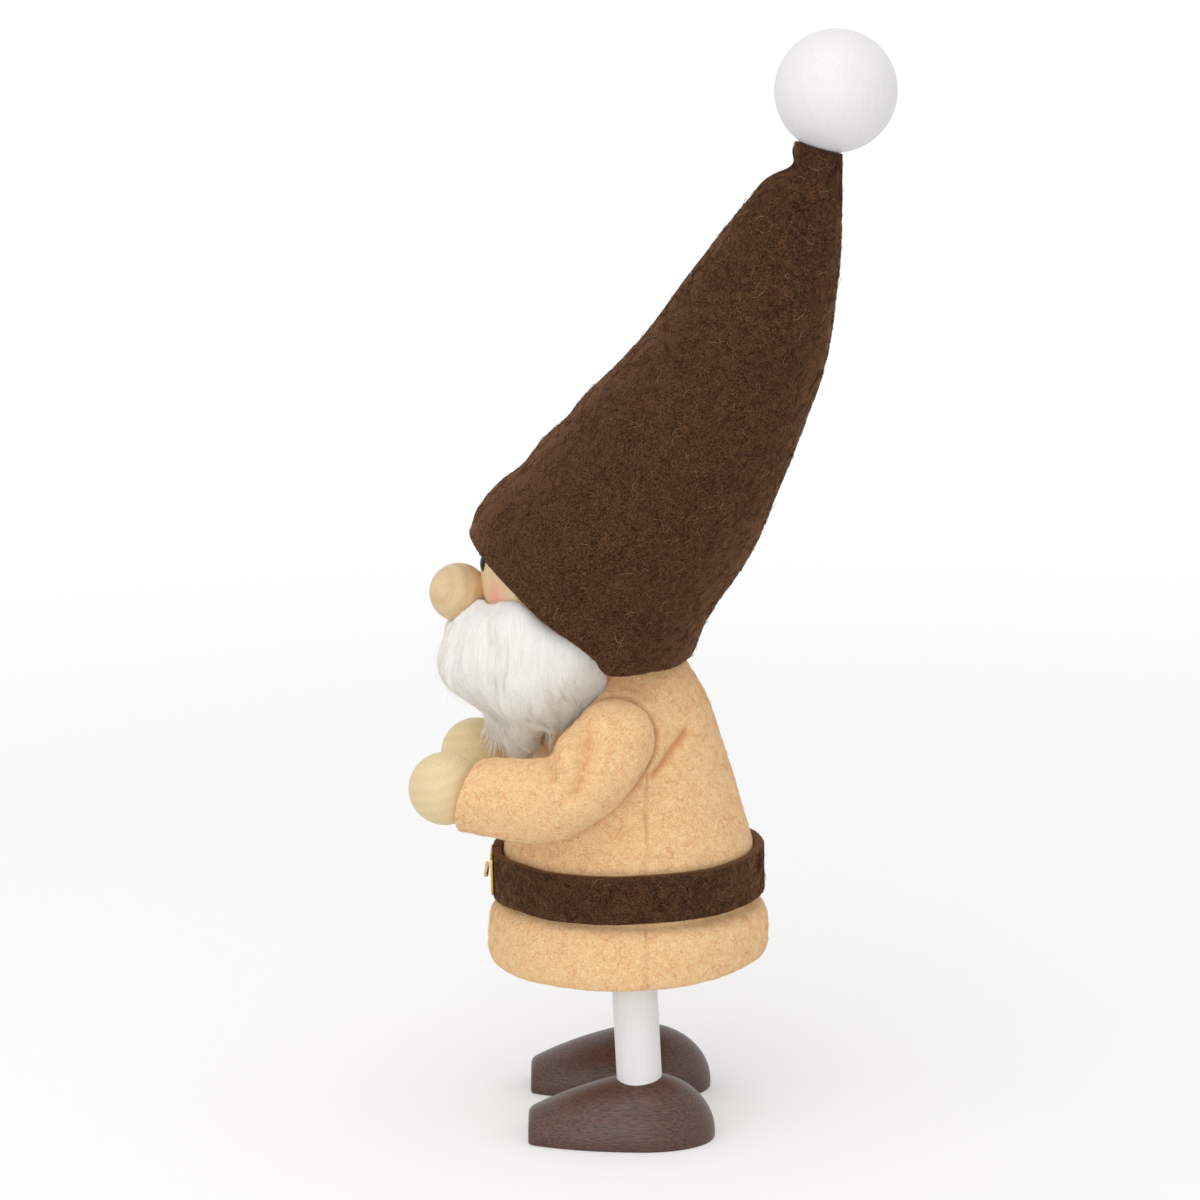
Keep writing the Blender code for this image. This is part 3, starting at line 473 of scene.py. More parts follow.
def drilled_ball(radius, hole, depth):
    """A ball's outline from its parting flat to a hole at the far pole."""
    first = np.arcsin(PARTING_FLAT / radius)
    last = pi - np.arcsin((hole + HOLE_CHAMFER) / radius)
    angles = np.linspace(first, last, BALL_RINGS)
    outline = [(0, -radius * cos(first))]
    outline += [(radius * sin(a), -radius * cos(a)) for a in angles]
    rim = -radius * cos(last)
    outline += [(hole, rim - HOLE_CHAMFER), (hole, rim - depth), (0, rim - depth)]
    return outline


# %% [markdown]
# ## Head, nose, eyes and hands
#
# The head is a 30 mm ball with a hole for the neck peg, the nose a 7.8 mm ball on its own peg, and
# the hands 9.6 mm balls that the arm wires are glued into. Each eye is sunk a little into the head.

# %% Head
HEAD_RADIUS = 15 * MM
NECK_HOLE = 2.3 * MM
NECK_HOLE_DEPTH = 7.3 * MM
CHEEK_TURN = radians(30)
CHEEK_DROP = radians(8)

head_low, head_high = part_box("head")
head_centre = Vector(
    ((head_low.x + head_high.x) / 2, (head_low.y + head_high.y) / 2, head_high.z - HEAD_RADIUS)
)


def on_head(turn, rise, distance=HEAD_RADIUS):
    """A point turned from straight ahead and raised, this far from the head's centre."""
    way = Vector((sin(turn) * cos(rise), -cos(turn) * cos(rise), sin(rise)))
    return head_centre + way * distance


cheeks = [on_head(side * CHEEK_TURN, -CHEEK_DROP) for side in (1, -1)]
face_beech = beech("turned_beech_face", (0, 0.25, 0), "#ecd0a6", "#e2c094", "#d5ad7c", cheeks)
head_outline = drilled_ball(HEAD_RADIUS, NECK_HOLE, NECK_HOLE_DEPTH)
head_data = turned("head", head_outline, head_centre, (0, 0, -1))
add_piece("turned_head", head_data, face_beech, "beech", "head")
print("head centre mm", [round(c / MM, 2) for c in head_centre])

# %% Nose
NOSE_RADIUS = 3.9 * MM
NOSE_PEG_RADIUS = 1.0 * MM
NOSE_PEG_LENGTH = 4.0 * MM
NOSE_SINK = 0.8 * MM
NOSE_DROP = radians(8.7)

nose_centre = on_head(0, -NOSE_DROP, HEAD_RADIUS - NOSE_SINK + NOSE_RADIUS)
nose_way = (head_centre - nose_centre).normalized()
nose_outline = drilled_ball(NOSE_RADIUS, NOSE_PEG_RADIUS, 0)[:-2]
peg_end = NOSE_RADIUS - NOSE_SINK + NOSE_PEG_LENGTH
nose_outline += [(NOSE_PEG_RADIUS, peg_end - HOLE_CHAMFER)]
nose_outline += [(NOSE_PEG_RADIUS - HOLE_CHAMFER, peg_end), (0, peg_end)]
nose_beech = beech("turned_beech_nose", (0.25, 0.3, 0.2), "#e2c59a", "#d1ae80", "#c09a6a")
nose_data = turned("nose", nose_outline, nose_centre, nose_way)
add_piece("nose_ball", nose_data, nose_beech, "beech", "nose")

# %% Eyes
EYE_RINGS = 24
EYE_HALF = Vector((1.0, 1.3, 0.7)) * MM
EYE_TURN = radians(13)
EYE_RISE = radians(7.5)
EYE_REACH = 14.75 * MM

for side, way in (("left", 1), ("right", -1)):
    eye_centre = on_head(way * EYE_TURN, EYE_RISE, EYE_REACH)
    look = (eye_centre - head_centre).normalized()
    sides = look.cross(Vector((0, 0, 1))).normalized()
    up = sides.cross(look)
    tilt = np.linspace(0, pi, EYE_RINGS)[:, None, None]
    round_about = around(2 * EYE_RINGS)[None, :, None]
    grid = np.array(eye_centre) + EYE_HALF.z * np.cos(tilt) * np.array(look)
    grid = grid + EYE_HALF.x * np.sin(tilt) * np.cos(round_about) * np.array(sides)
    grid = grid + EYE_HALF.y * np.sin(tilt) * np.sin(round_about) * np.array(up)
    data = skin("eye", grid)
    add_piece(f"lacquer_eye_{side}", data, black_lacquer, "black_gloss", f"eye_{side}")

# %% Hands
HAND_RADIUS = 4.8 * MM
WIRE_HOLE = 0.8 * MM
HAND_HOLE_DEPTH = 3.8 * MM

hand_beech = {
    "left": beech("turned_beech_left_hand", (0.2, 1.35, 0), "#e8d2a5", "#dfc694", "#d2b684"),
    "right": beech("turned_beech_right_hand", (1.4, 0.3, 0.5), "#e8d1a2", "#dec491", "#d3b680"),
}
for side in ("left", "right"):
    centre = centre_of(f"hand_{side}")
    arm_back = Vector((centre.x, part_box(f"arm_wire_{side}")[1].y, centre.z))
    hand_outline = drilled_ball(HAND_RADIUS, WIRE_HOLE, HAND_HOLE_DEPTH)
    data = turned("hand", hand_outline, centre, arm_back - centre)
    names = f"turned_hand_{side}", f"hand_{side}"
    add_piece(names[0], data, hand_beech[side], "beech", names[1], body=f"arm_{side}")
print("hands at mm", [round(c / MM, 1) for c in centre_of("hand_left")])

# %% [markdown]
# ## Legs and shoes
#
# A leg is 6 mm dowel with a small chamfer at each end, raked so that its foot stands a little behind
# its top. A shoe is half an egg with a flat sole and a sawn-off toe, sanded round at its edges. Its
# sections are half ellipses whose width and height shrink to both ends by different powers. The edge
# round the sole is made by letting the height run out softly near the ground.

# %% Legs
LEG_RADIUS = 3.0 * MM
LEG_RAKE = radians(3)
LEG_CHAMFER = 0.3 * MM
LEG_RINGS = 30

for side in ("left", "right"):
    low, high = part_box(f"leg_{side}")
    inset_y, inset_z = LEG_RADIUS * cos(LEG_RAKE), LEG_RADIUS * sin(LEG_RAKE)
    foot = Vector(((low.x + high.x) / 2, high.y - inset_y, low.z + inset_z))
    top = Vector((foot.x, low.y + inset_y, high.z - inset_z))
    length = (top - foot).length
    inner = LEG_RADIUS - LEG_CHAMFER
    outline = [(0, 0), (inner, 0)]
    straight = length - 2 * LEG_CHAMFER
    outline += [
        (LEG_RADIUS, LEG_CHAMFER + straight * k / LEG_RINGS) for k in range(LEG_RINGS + 1)
    ]
    outline += [(inner, length), (0, length)]
    data = turned("leg", outline, foot, top - foot)
    add_piece(f"dowel_leg_{side}", data, white_paint, "white_wood", f"leg_{side}")

# %% Shoes
SHOE_HALF_WIDTH = 7.2 * MM
SHOE_CREST = 8.7 * MM
SHOE_WIDEST = 0.8 * MM
SHOE_TOE = 15.3 * MM
SHOE_TOE_CUT = 3.7 * MM
SHOE_HEEL = 9.5 * MM
SHOE_EDGE = 0.35 * MM
TOE_EDGE = 0.6 * MM
TOE_POWERS = (1.9, 1.35)
SHOE_COLUMNS = 144
TOE_FACE_SHARES = (0.0, 0.25, 0.5, 0.75, 0.9)
HEEL_END = 0.99999
TOE_EDGE_RINGS = 6
SHOE_FRONT_RINGS = 60
SHOE_BACK_RINGS = 40


def shoe_section(along):
    """Half width and height of the egg at a share of its length, from -1 at the uncut toe to 1."""
    width_power, height_power = (2, 2) if along > 0 else TOE_POWERS
    width = SHOE_HALF_WIDTH * (1 - abs(along) ** width_power) ** (1 / width_power)
    height = (SHOE_CREST - SHOE_WIDEST) * (1 - abs(along) ** height_power) ** (1 / height_power)
    return width, height


def shoe_ring(along, depth, inset=0.0):
    """One section of the shoe, drawn in by an inset."""
    width, height = shoe_section(along)
    angles = around(SHOE_COLUMNS)
    x = max(width - inset, 0) * np.cos(angles)
    z = SHOE_WIDEST + max(height - inset, 0) * np.sin(angles)
    soft = SHOE_EDGE * np.exp(np.minimum(z / SHOE_EDGE - 1, 0))
    z = np.where(z > SHOE_EDGE, z, soft)
    z = np.maximum(z, min(inset, SHOE_WIDEST) * 0.5)
    return np.stack([x, np.full_like(x, depth), z], -1)


uncut_toe = SHOE_TOE + SHOE_TOE_CUT
toe_share = -SHOE_TOE / uncut_toe
toe_middle = np.array([0, -SHOE_TOE, shoe_section(toe_share)[1] / 2])
toe_ring = shoe_ring(toe_share, -SHOE_TOE, TOE_EDGE)
rings = [toe_middle + (toe_ring - toe_middle) * share for share in TOE_FACE_SHARES]
for k in range(TOE_EDGE_RINGS + 1):
    turn = pi / 2 * k / TOE_EDGE_RINGS
    depth = -SHOE_TOE + TOE_EDGE * (1 - cos(turn))
    rings.append(shoe_ring(depth / uncut_toe, depth, TOE_EDGE * (1 - sin(turn))))
for k in range(1, SHOE_FRONT_RINGS + 1):
    along = toe_share - toe_share * k / SHOE_FRONT_RINGS
    if along * uncut_toe > -SHOE_TOE + TOE_EDGE:
        rings.append(shoe_ring(along, along * uncut_toe))
for k in range(1, SHOE_BACK_RINGS + 1):
    along = sin(pi / 2 * k / SHOE_BACK_RINGS)
    rings.append(shoe_ring(min(along, HEEL_END), along * SHOE_HEEL))

for side in ("left", "right"):
    low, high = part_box(f"shoe_{side}")
    origin = np.array(((low.x + high.x) / 2, low.y + SHOE_TOE, low.z))
    data = skin("shoe", np.array(rings) + origin, sharp=SHARP)
    add_piece(f"stained_shoe_{side}", data, brown_stain, "stained_wood", f"shoe_{side}")
print("shoe rings", len(rings))

# %% [markdown]
# ## Felt as a shell
#
# Cut felt is a sheet of one thickness whose edges are square but never crisp. So each felt piece
# starts as the grid of its outer face. The inner face is the same grid moved in by the thickness,
# and a few rows between them make the cut edge, a little swollen. Real felt is lumpy, so the grid is
# pushed in and out by a noise at two sizes first. This happens in the mesh, not in the material,
# because it has to show in the outline too.

# %% Felt helpers
EDGE_SWELL = 0.18 * MM
EDGE_ROWS = 5


def normals_of(grid, ring=True):
    """Unit normals of a grid, pointing away from the middle of its rows."""
    wide = np.roll(grid, -1, 1) - np.roll(grid, 1, 1) if ring else np.gradient(grid, axis=1)
    cross = np.cross(wide, np.gradient(grid, axis=0))
    cross = cross * np.sign(np.sum(cross * (grid - grid.mean(axis=1, keepdims=True))))
    return unit(cross)


def lumps(points, size, height):
    """Noise of a feature size at each point, as a height."""
    flat = points.reshape(-1, 3) / size
    return np.array([noise.noise(p) for p in flat.tolist()]).reshape(points.shape[:-1]) * height


def pressed(grid, normals, seams=0.0, coarse=(7 * MM, 0.22 * MM), fine=(1.1 * MM, 0.05 * MM)):
    """The grid moved along its normals by lumps of two sizes, and in by a height for each point."""
    height = lumps(grid, *coarse) + lumps(grid + 1.0, *fine) - seams
    return grid + normals * height[..., None]


def shell(outer, normals, thickness):
    """Rows of a closed felt shell: the outer face, a swollen edge, the inner face and an edge."""
    inner = outer - normals * thickness
    ends = []
    for last, before in ((-1, -2), (0, 1)):
        way = unit(outer[last] - outer[before])
        rows = []
        for k in range(1, EDGE_ROWS + 1):
            share = k / (EDGE_ROWS + 1)
            swell = EDGE_SWELL * (1 - (2 * share - 1) ** 4)
            rows.append(outer[last] + (inner[last] - outer[last]) * share + way * swell)
        ends.append(np.array(rows))
    return np.concatenate([outer, ends[0], inner[::-1], ends[1][::-1]])


def catmull_rom(rows, steps):
    """Points on a smooth curve through the rows, with this many steps to each span."""
    rows = np.array([rows[0], *rows, rows[-1]], float)
    t = np.linspace(0, 1, steps, endpoint=False)[:, None]
    found = []
    for a, b, c, d in zip(rows, rows[1:], rows[2:], rows[3:]):
        bend = 2 * b + (c - a) * t + (2 * a - 5 * b + 4 * c - d) * t**2
        found.append((bend + (3 * b - a - 3 * c + d) * t**3) / 2)
    return np.concatenate([*found, rows[-1:]])


def evenly(line, count):
    """Points at even distances along a line of points."""
    reach = np.concatenate([[0], np.cumsum(np.linalg.norm(np.diff(line, axis=0), axis=1))])
    wanted = np.linspace(0, reach[-1], count)
    return np.stack([np.interp(wanted, reach, column) for column in line.T], -1)


# %% [markdown]
# ## Loose fibres
#
# Bump alone leaves felt looking printed, since the real thing has hairs that stand off it, curl, and
# cross its edges. They are cheap enough to make as real geometry: each hair is a closed three-sided
# tube that thins to its ends, along a path that wanders over a grid. The path turns a little at each
# step, as crimped wool does, and floats a fraction of a millimetre above the felt. Hairs of one
# colour make one piece with a plain matt finish of their own. Both sources of chance get a seed, or
# the noise that bends the wool would start from the clock, and the doll would differ each time.

# %% Hairs along paths
dice = np.random.default_rng(7)
noise.seed_set(1)
HAIR_FULLNESS = 1.15
HAIR_TIP = 0.12
HAIR_STRIDES = (0.5, 1.3)
STRAY_REACH = (3, 9)
SMALLEST_CELL = 0.05 * MM


def hair_mesh(name, paths, radius):
    """Closed three-sided hairs along paths, an array of hairs by points by 3."""
    hairs, steps = paths.shape[:2]
    way = unit(np.gradient(paths, axis=1))
    side = unit(np.cross(way, np.array([0.31, 0.52, 0.79])))
    other = np.cross(way, side)
    share = np.linspace(0, 1, steps)
    taper = radius * np.clip(HAIR_FULLNESS * (1 - (2 * share - 1) ** 4), HAIR_TIP, 1)
    ways_out = [side * cos(a) + other * sin(a) for a in around(3)]
    points = np.stack([paths + way_out * taper[None, :, None] for way_out in ways_out], 2)
    index = np.arange(hairs * steps * 3).reshape(hairs, steps, 3)
    low, high = index[:, :-1], index[:, 1:]
    low_next, high_next = np.roll(low, -1, 2), np.roll(high, -1, 2)
    first = np.stack([low, low_next, high_next], -1).reshape(-1, 3)
    second = np.stack([low, high_next, high], -1).reshape(-1, 3)
    caps = np.concatenate([index[:, 0, ::-1], index[:, -1]])
    return mesh_from(name, points.reshape(-1, 3), np.concatenate([first, second, caps]))


def read_grid(grid, rows, columns, ring=True):
    """The grid's values at fractional rows and columns."""
    high_row, high_column = grid.shape[0] - 1, grid.shape[1] if ring else grid.shape[1] - 1
    rows = np.clip(rows, 0, high_row - 1e-6)
    columns = columns % high_column if ring else np.clip(columns, 0, high_column - 1e-6)
    r, c = rows.astype(int), columns.astype(int)
    u, v = (rows - r)[..., None], (columns - c)[..., None]
    right = (c + 1) % grid.shape[1]
    top = grid[r, c] * (1 - v) + grid[r, right] * v
    low = grid[r + 1, c] * (1 - v) + grid[r + 1, right] * v
    return top * (1 - u) + low * u


def wander(grid, normals, count, length, steps=9, turn=0.55, lift=0.05 * MM, stray=0.08, ring=True):
    """Paths that wander over a grid, and float over it by a lift. A few stray further off."""
    row = dice.uniform(0, grid.shape[0] - 1, count)
    column = dice.uniform(0, grid.shape[1], count)
    heading = dice.uniform(0, 2 * pi, count)
    curl = dice.normal(0, turn, count)
    stride = dice.uniform(*HAIR_STRIDES, count) * length / (steps - 1)
    strays = dice.random(count) < stray
    reach = np.where(strays, dice.uniform(*STRAY_REACH, count), 1.0) * lift
    places = []
    for k in range(steps):
        here = read_grid(grid, row, column, ring)
        down = np.linalg.norm(read_grid(grid, row + 1, column, ring) - here, axis=-1)
        over = np.linalg.norm(read_grid(grid, row, column + 1, ring) - here, axis=-1)
        rise = lift * 0.6 + reach * np.sin(pi * (0.15 + 0.85 * k / (steps - 1))) ** 2
        rise = np.where(strays, lift + reach * (k / (steps - 1)) ** 2, rise)
        places.append(here + read_grid(normals, row, column, ring) * rise[:, None])
        heading = heading + curl / 2 + dice.normal(0, turn, count)
        row = row + stride * np.cos(heading) / np.maximum(down, SMALLEST_CELL)
        column = column + stride * np.sin(heading) / np.maximum(over, SMALLEST_CELL)
    return np.stack(places, 1)


def add_hairs(name, grid, normals, count, length, radius, finish, slot, body="doll", **way):
    """A piece of this many hairs over a grid."""
    data = hair_mesh("hairs", wander(grid, normals, count, length, **way), radius)
    return add_piece(name, data, finish, slot, body=body)


def plain_wool(name, hex_colour):
    """The finish of single hairs, which are too thin to carry a pattern."""
    material, tree, shader, _ = new_material(name, roughness=0.9, ior=1.45)
    fill(tree, shader, {"Base Color": linear(hex_colour), "Specular IOR Level": 0.15})
    return material


# %% [markdown]
# ## Hat
#
# The hat is a felt cone over a wire, which leans back and bows. Its brim is cut in two strokes:
# slanting up over the face, with a slight arch, and level behind the ears. Rather than cut a
# finished cone, each of its columns simply starts at the brim: the two cutting planes are joined
# with a soft corner, and the first point above them is found on each column. The tip is tied in
# below the ball, so a groove runs round it, deepest in front.

# %% Hat form
HAT_FELT = 1.2 * MM
HAT_RADIUS = HEAD_RADIUS + 0.6 * MM + HAT_FELT
HAT_LEAN = radians(27.6)
HAT_LENGTH = 63.0 * MM
HAT_TIP_RADIUS = 3.1 * MM
HAT_BOW = 3.1 * MM
HAT_SWELL = 2.2 * MM
HAT_TIP_SWELL = 0.5 * MM
HAT_FRONT_SWELL = 1.2 * MM
HAT_FRONT_SPAN = (-4.0 * MM, 17.0 * MM)
HAT_TIP_TURN = radians(11.8)
HAT_SKIRT = 19.0 * MM
BRIM_FRONT_RISE = 5.2 * MM
BRIM_SIDE_DROP = 11.1 * MM
BRIM_CORNER_DEPTH = 1.7 * MM
BRIM_CORNER_ROUND = 0.5 * MM
BRIM_LIFT = 0.9 * MM
BRIM_LIFT_PLACE = -1.4 * MM
BRIM_LIFT_SPAN = 3.8 * MM
BRIM_LIFT_END = 1.5 * MM
BRIM_RIPPLE = (0.5, 0.12 * MM)
BRIM_TRIALS = 400
HAT_COLUMNS = 200
HAT_ROWS = 170
# Place from the head's centre along the hat, angle from its front, depth and spread of each dent
HAT_DENTS = (
    (59.9, 0.0, 1.9, 1.7),
    (8.3, 0.0, 1.0, 3.2),
    (20.5, 0.0, -0.5, 4.0),
    (36.0, 0.0, 0.4, 6.0),
    (24.0, pi, 0.5, 7.0),
    (3.0, pi, 0.6, 6.0),
    (44.0, 1.5, 0.4, 5.0),
    (14.0, 1.8, 0.4, 6.0),
)
hat_axis = np.array((0, sin(HAT_LEAN), cos(HAT_LEAN)))
hat_forward = np.array((0, -cos(HAT_LEAN), sin(HAT_LEAN)))


def hat_surface(along, angle):
    """Points of the hat at distances along its axis from the head's centre and angles from its front."""
    share = np.maximum(0, along / HAT_LENGTH)
    radius = HAT_RADIUS + (HAT_TIP_RADIUS - HAT_RADIUS) * share + HAT_SWELL * np.sin(pi * share)
    radius = radius + HAT_TIP_SWELL * np.maximum(0, np.sin(2 * pi * (share - 0.5)))
    span = (along - HAT_FRONT_SPAN[0]) / (HAT_FRONT_SPAN[1] - HAT_FRONT_SPAN[0])
    radius = radius + HAT_FRONT_SWELL * np.sin(pi * np.clip(span, 0, 1)) * np.maximum(0, np.cos(angle))
    for place, side, depth, spread in HAT_DENTS:
        near = np.exp(-(((along - place * MM) / (spread * MM)) ** 2))
        radius = radius - depth * MM * near * ((1 + np.cos(angle - side)) / 2) ** 3
    lean = HAT_LEAN - HAT_TIP_TURN * share**2
    zero = np.zeros_like(lean)
    forward = np.stack([zero, -np.cos(lean), np.sin(lean)], -1)
    centre = np.array(head_centre) + along[..., None] * hat_axis
    centre = centre - hat_forward * (HAT_BOW * np.sin(pi * share))[..., None]
    sideways = np.array((1.0, 0, 0)) * (radius * np.sin(angle))[..., None]
    return centre + forward * (radius * np.cos(angle))[..., None] + sideways


brim_corner = np.array(head_centre) + np.array((0, BRIM_CORNER_DEPTH, -BRIM_SIDE_DROP))
brim_front = np.array(head_centre) + np.array((0, -HAT_RADIUS * cos(HAT_LEAN / 2), BRIM_FRONT_RISE))
brim_slope = (brim_front - brim_corner) / np.linalg.norm(brim_front - brim_corner)
slant_normal = np.array((0, -brim_slope[2], brim_slope[1]))

hat_angles = around(HAT_COLUMNS)
stops = np.linspace(-HAT_SKIRT, HAT_SKIRT, BRIM_TRIALS)
trial = hat_surface(*np.broadcast_arrays(stops[:, None], hat_angles[None]))
below_slant = (trial - brim_corner) @ slant_normal
below_level = brim_corner[2] - trial[..., 2]
below = np.logaddexp(below_slant / BRIM_CORNER_ROUND, below_level / BRIM_CORNER_ROUND)
brim_rows = np.argmax(below < 0, axis=0)
brim_depth = trial[brim_rows, np.arange(HAT_COLUMNS), 1] - head_centre.y
arch = np.exp(-(((brim_depth - BRIM_LIFT_PLACE) / BRIM_LIFT_SPAN) ** 2))
arch *= np.clip((BRIM_CORNER_DEPTH - brim_depth) / BRIM_LIFT_END, 0, 1)
unit_ring = np.stack([np.cos(hat_angles), np.sin(hat_angles), 0 * hat_angles], -1)
brim_stops = stops[brim_rows] + BRIM_LIFT * arch + lumps(unit_ring, *BRIM_RIPPLE)
shares = np.linspace(0, 1, HAT_ROWS)[:, None]
hat_along = brim_stops[None] + (HAT_LENGTH - brim_stops[None]) * shares
hat_outer = hat_surface(*np.broadcast_arrays(hat_along, hat_angles[None]))[::-1]
print("brim reaches from", round(brim_stops.min() / MM, 1), "to", round(brim_stops.max() / MM, 1), "mm")

# %% Hat
hat_normals = normals_of(hat_outer)
hat_outer = pressed(hat_outer, hat_normals, coarse=(9 * MM, 0.3 * MM))
hat_normals = normals_of(hat_outer)
hat_data = skin("hat", shell(hat_outer, hat_normals, HAT_FELT), shut=True)
add_piece("felt_hat", hat_data, brown_felt, "hat_felt", "hat")

BROWN_HAIR_RADIUS = 0.024 * MM
HAT_HAIRS = {"deep": 3600, "light": 3400, "pale": 260}
HAT_HAIR_LENGTH = 2.6 * MM
HAT_STRAYS = 0.1

brown_hairs = {
    "deep": plain_wool("deep_brown_wool_hair", "#3c261b"),
    "light": plain_wool("light_brown_wool_hair", "#654836"),
    "pale": plain_wool("pale_brown_wool_hair", "#a5876a"),
}
for tone, count in HAT_HAIRS.items():
    size = HAT_HAIR_LENGTH, BROWN_HAIR_RADIUS
    kind = brown_hairs[tone], "hat_felt"
    add_hairs(f"hat_hairs_{tone}", hat_outer, hat_normals, count, *size, *kind, stray=HAT_STRAYS)
print("hat points", len(hat_data.vertices))

# %% [markdown]
# ## Ball and stuffing of the hat
#
# The ball is glued on the end of the hat's wire, against the rim of the felt. Inside, above the
# head, the hat is stuffed with a plug of wool, which nothing shows but which keeps the cone full.

# %% Hat ball
BALL_RADIUS = 8.0 * MM
BALL_HOLE_DEPTH = 5.3 * MM

ball_centre = centre_of("hat_ball")
tip_lean = HAT_LEAN - HAT_TIP_TURN
tip_way = Vector((0, sin(tip_lean), cos(tip_lean)))
ball_outline = drilled_ball(BALL_RADIUS, WIRE_HOLE, BALL_HOLE_DEPTH)
ball_data = turned("ball", ball_outline, ball_centre, -tip_way)
add_piece("hat_ball_painted", ball_data, white_paint, "white_wood", "hat_ball")

# %% Stuffing
STUFFING_GAP = 0.8 * MM
STUFFING_SPAN = (16.0 * MM, 58.8 * MM)
STUFFING_ROWS = 60
STUFFING_COLUMNS = 96

stuffing_along = np.linspace(*STUFFING_SPAN, STUFFING_ROWS)[:, None]
stuffing = hat_surface(*np.broadcast_arrays(stuffing_along, around(STUFFING_COLUMNS)[None]))
stuffing = stuffing - normals_of(stuffing) * (HAT_FELT + STUFFING_GAP)
stuffing = pressed(stuffing, normals_of(stuffing), coarse=(3 * MM, 0.25 * MM))
stuffing_data = skin("stuffing", stuffing)
stuffing_piece = add_piece("hat_stuffing", stuffing_data, white_wool, "wool", "hat_wadding")
print("ball centre mm", [round(c / MM, 1) for c in ball_centre])

# %% [markdown]
# ## Sleeves
#
# A sleeve is a felt tube from the shoulder to the cuff, bent at the elbow so that the forearm points
# forward. It is lofted along stations that give the place of its middle, how far the felt reaches
# over and under it, and its half width. Felt that bends can't stretch, so at the inside of the elbow
# it folds into soft creases with a bulge between them. These are drawn as they show from the side, as
# lines of depth and height, and pressed into the side that faces outwards. The sleeve is also drawn
# in where it is sewn to the coat, so the coat's outline has to be known first. In a fold, light
# bounces from felt to felt and its colour deepens, so the same numbers give the folds their shade.

# %% Outline of the coat
BELT_RADIUS = 18.15 * MM
BELT_WIDTH = 6.4 * MM
BELT_HEIGHT = 34.1 * MM
BELT_FELT = 1.3 * MM
PINCH_RADIUS = BELT_RADIUS - BELT_FELT - 0.3 * MM
PINCH_HALF = BELT_WIDTH / 2 + 0.6 * MM
HEM_HEIGHT = 21.8 * MM
HEM_ROLL = 0.5 * MM
HEM_ROLL_SPAN = 2.0 * MM
COAT_ROWS = 150
COAT_UPPER = ((7.6, 62.5), (10.6, 57.0), (13.3, 48.7))
COAT_SKIRT = (18.5 * MM, BELT_HEIGHT - PINCH_HALF - 2.4 * MM)
COAT_HEM = (18.8 * MM, HEM_HEIGHT)

upper = [(r * MM, z * MM) for r, z in COAT_UPPER] + [(PINCH_RADIUS, BELT_HEIGHT + PINCH_HALF)]
lower = [(PINCH_RADIUS, BELT_HEIGHT - PINCH_HALF), COAT_SKIRT, COAT_HEM]
coat_line = evenly(np.concatenate([catmull_rom(upper, 12), catmull_rom(lower, 12)]), COAT_ROWS)
roll = np.clip(1 - (coat_line[:, 1] - HEM_HEIGHT) / HEM_ROLL_SPAN, 0, 1)
coat_line[:, 0] -= HEM_ROLL * roll**2
belt_middle = centre_of("belt")
waist = np.array((0, belt_middle.y, 0))
print("coat radius at hem mm", round(coat_line[-1, 0] / MM, 1))

# %% Sleeve form
COAT_FELT = 1.3 * MM
SHOULDER_BALL = 5.3 * MM
CUFF_SLANT = radians(12.5)
CUFF_EASE_ROWS = 32
BALL_LATITUDES = np.radians(np.linspace(-89, -8, 22))
SLEEVE_COLUMNS = 120
SLEEVE_STEPS = 26
# Stations from shoulder to cuff: out, depth and height of the middle, reach over and under, half width
ARM_ROUTES = {
    "left": (
        (3.1, -2.4, -3.4, 6.4, 5.2, 4.3),
        (4.2, -5.5, -6.1, 5.6, 5.0, 4.5),
        (2.7, -10.1, -7.6, 5.8, 5.6, 4.7),
        (-1.0, -18.45, -7.5, 4.8, 5.1, 4.6),
    ),
    "right": (
        (2.9, -2.3, -3.0, 5.8, 5.0, 4.3),
        (4.1, -5.2, -5.8, 5.4, 5.0, 4.4),
        (2.8, -9.0, -7.4, 5.6, 5.4, 4.6),
        (-0.8, -15.2, -7.5, 4.8, 4.8, 4.6),
    ),
}


def sleeve_grid(pivot, side, route):
    """The outer face of a sleeve, from its closed shoulder end to the slanted cuff."""
    rows = [(0, 0, 0, *(SHOULDER_BALL,) * 3)]
    rows += [(side * out * MM, *(value * MM for value in rest)) for out, *rest in route]
    stations = catmull_rom(rows, SLEEVE_STEPS)
    middle = stations[:, :3]
    reach = SLEEVE_STEPS // 2 + 4
    count = len(middle)
    before = middle[np.maximum(np.arange(count) - reach, 0)]
    after = middle[np.minimum(np.arange(count) + reach, count - 1)]
    along = unit(after - before)
    across = unit(np.array((1.0, 0, 0)) - along * along[:, :1])
    over = np.cross(across, along)
    over = np.where(over[:, 2:] < 0, -over, over)
    angles = around(SLEEVE_COLUMNS)
    c, s = np.cos(angles)[None, :, None], np.sin(angles)[None, :, None]
    height = np.where(s > 0, stations[:, 3, None, None], stations[:, 4, None, None]) * s
    width = across[:, None] * stations[:, 5, None, None] * c * side
    tube = middle[:, None] + width + over[:, None] * height
    ease = np.linspace(0, 1, CUFF_EASE_ROWS)[:, None, None] ** 2
    cuff = slice(-CUFF_EASE_ROWS, None)
    tube[cuff] -= along[cuff, None] * height[cuff] * tan(CUFF_SLANT) * ease
    end = [
        along[0] * SHOULDER_BALL * sin(b)
        + (across[0] * c[0] * side + over[0] * s[0]) * SHOULDER_BALL * cos(b)
        for b in BALL_LATITUDES
    ]
    return np.concatenate([np.array(end), tube]) + np.array(pivot)


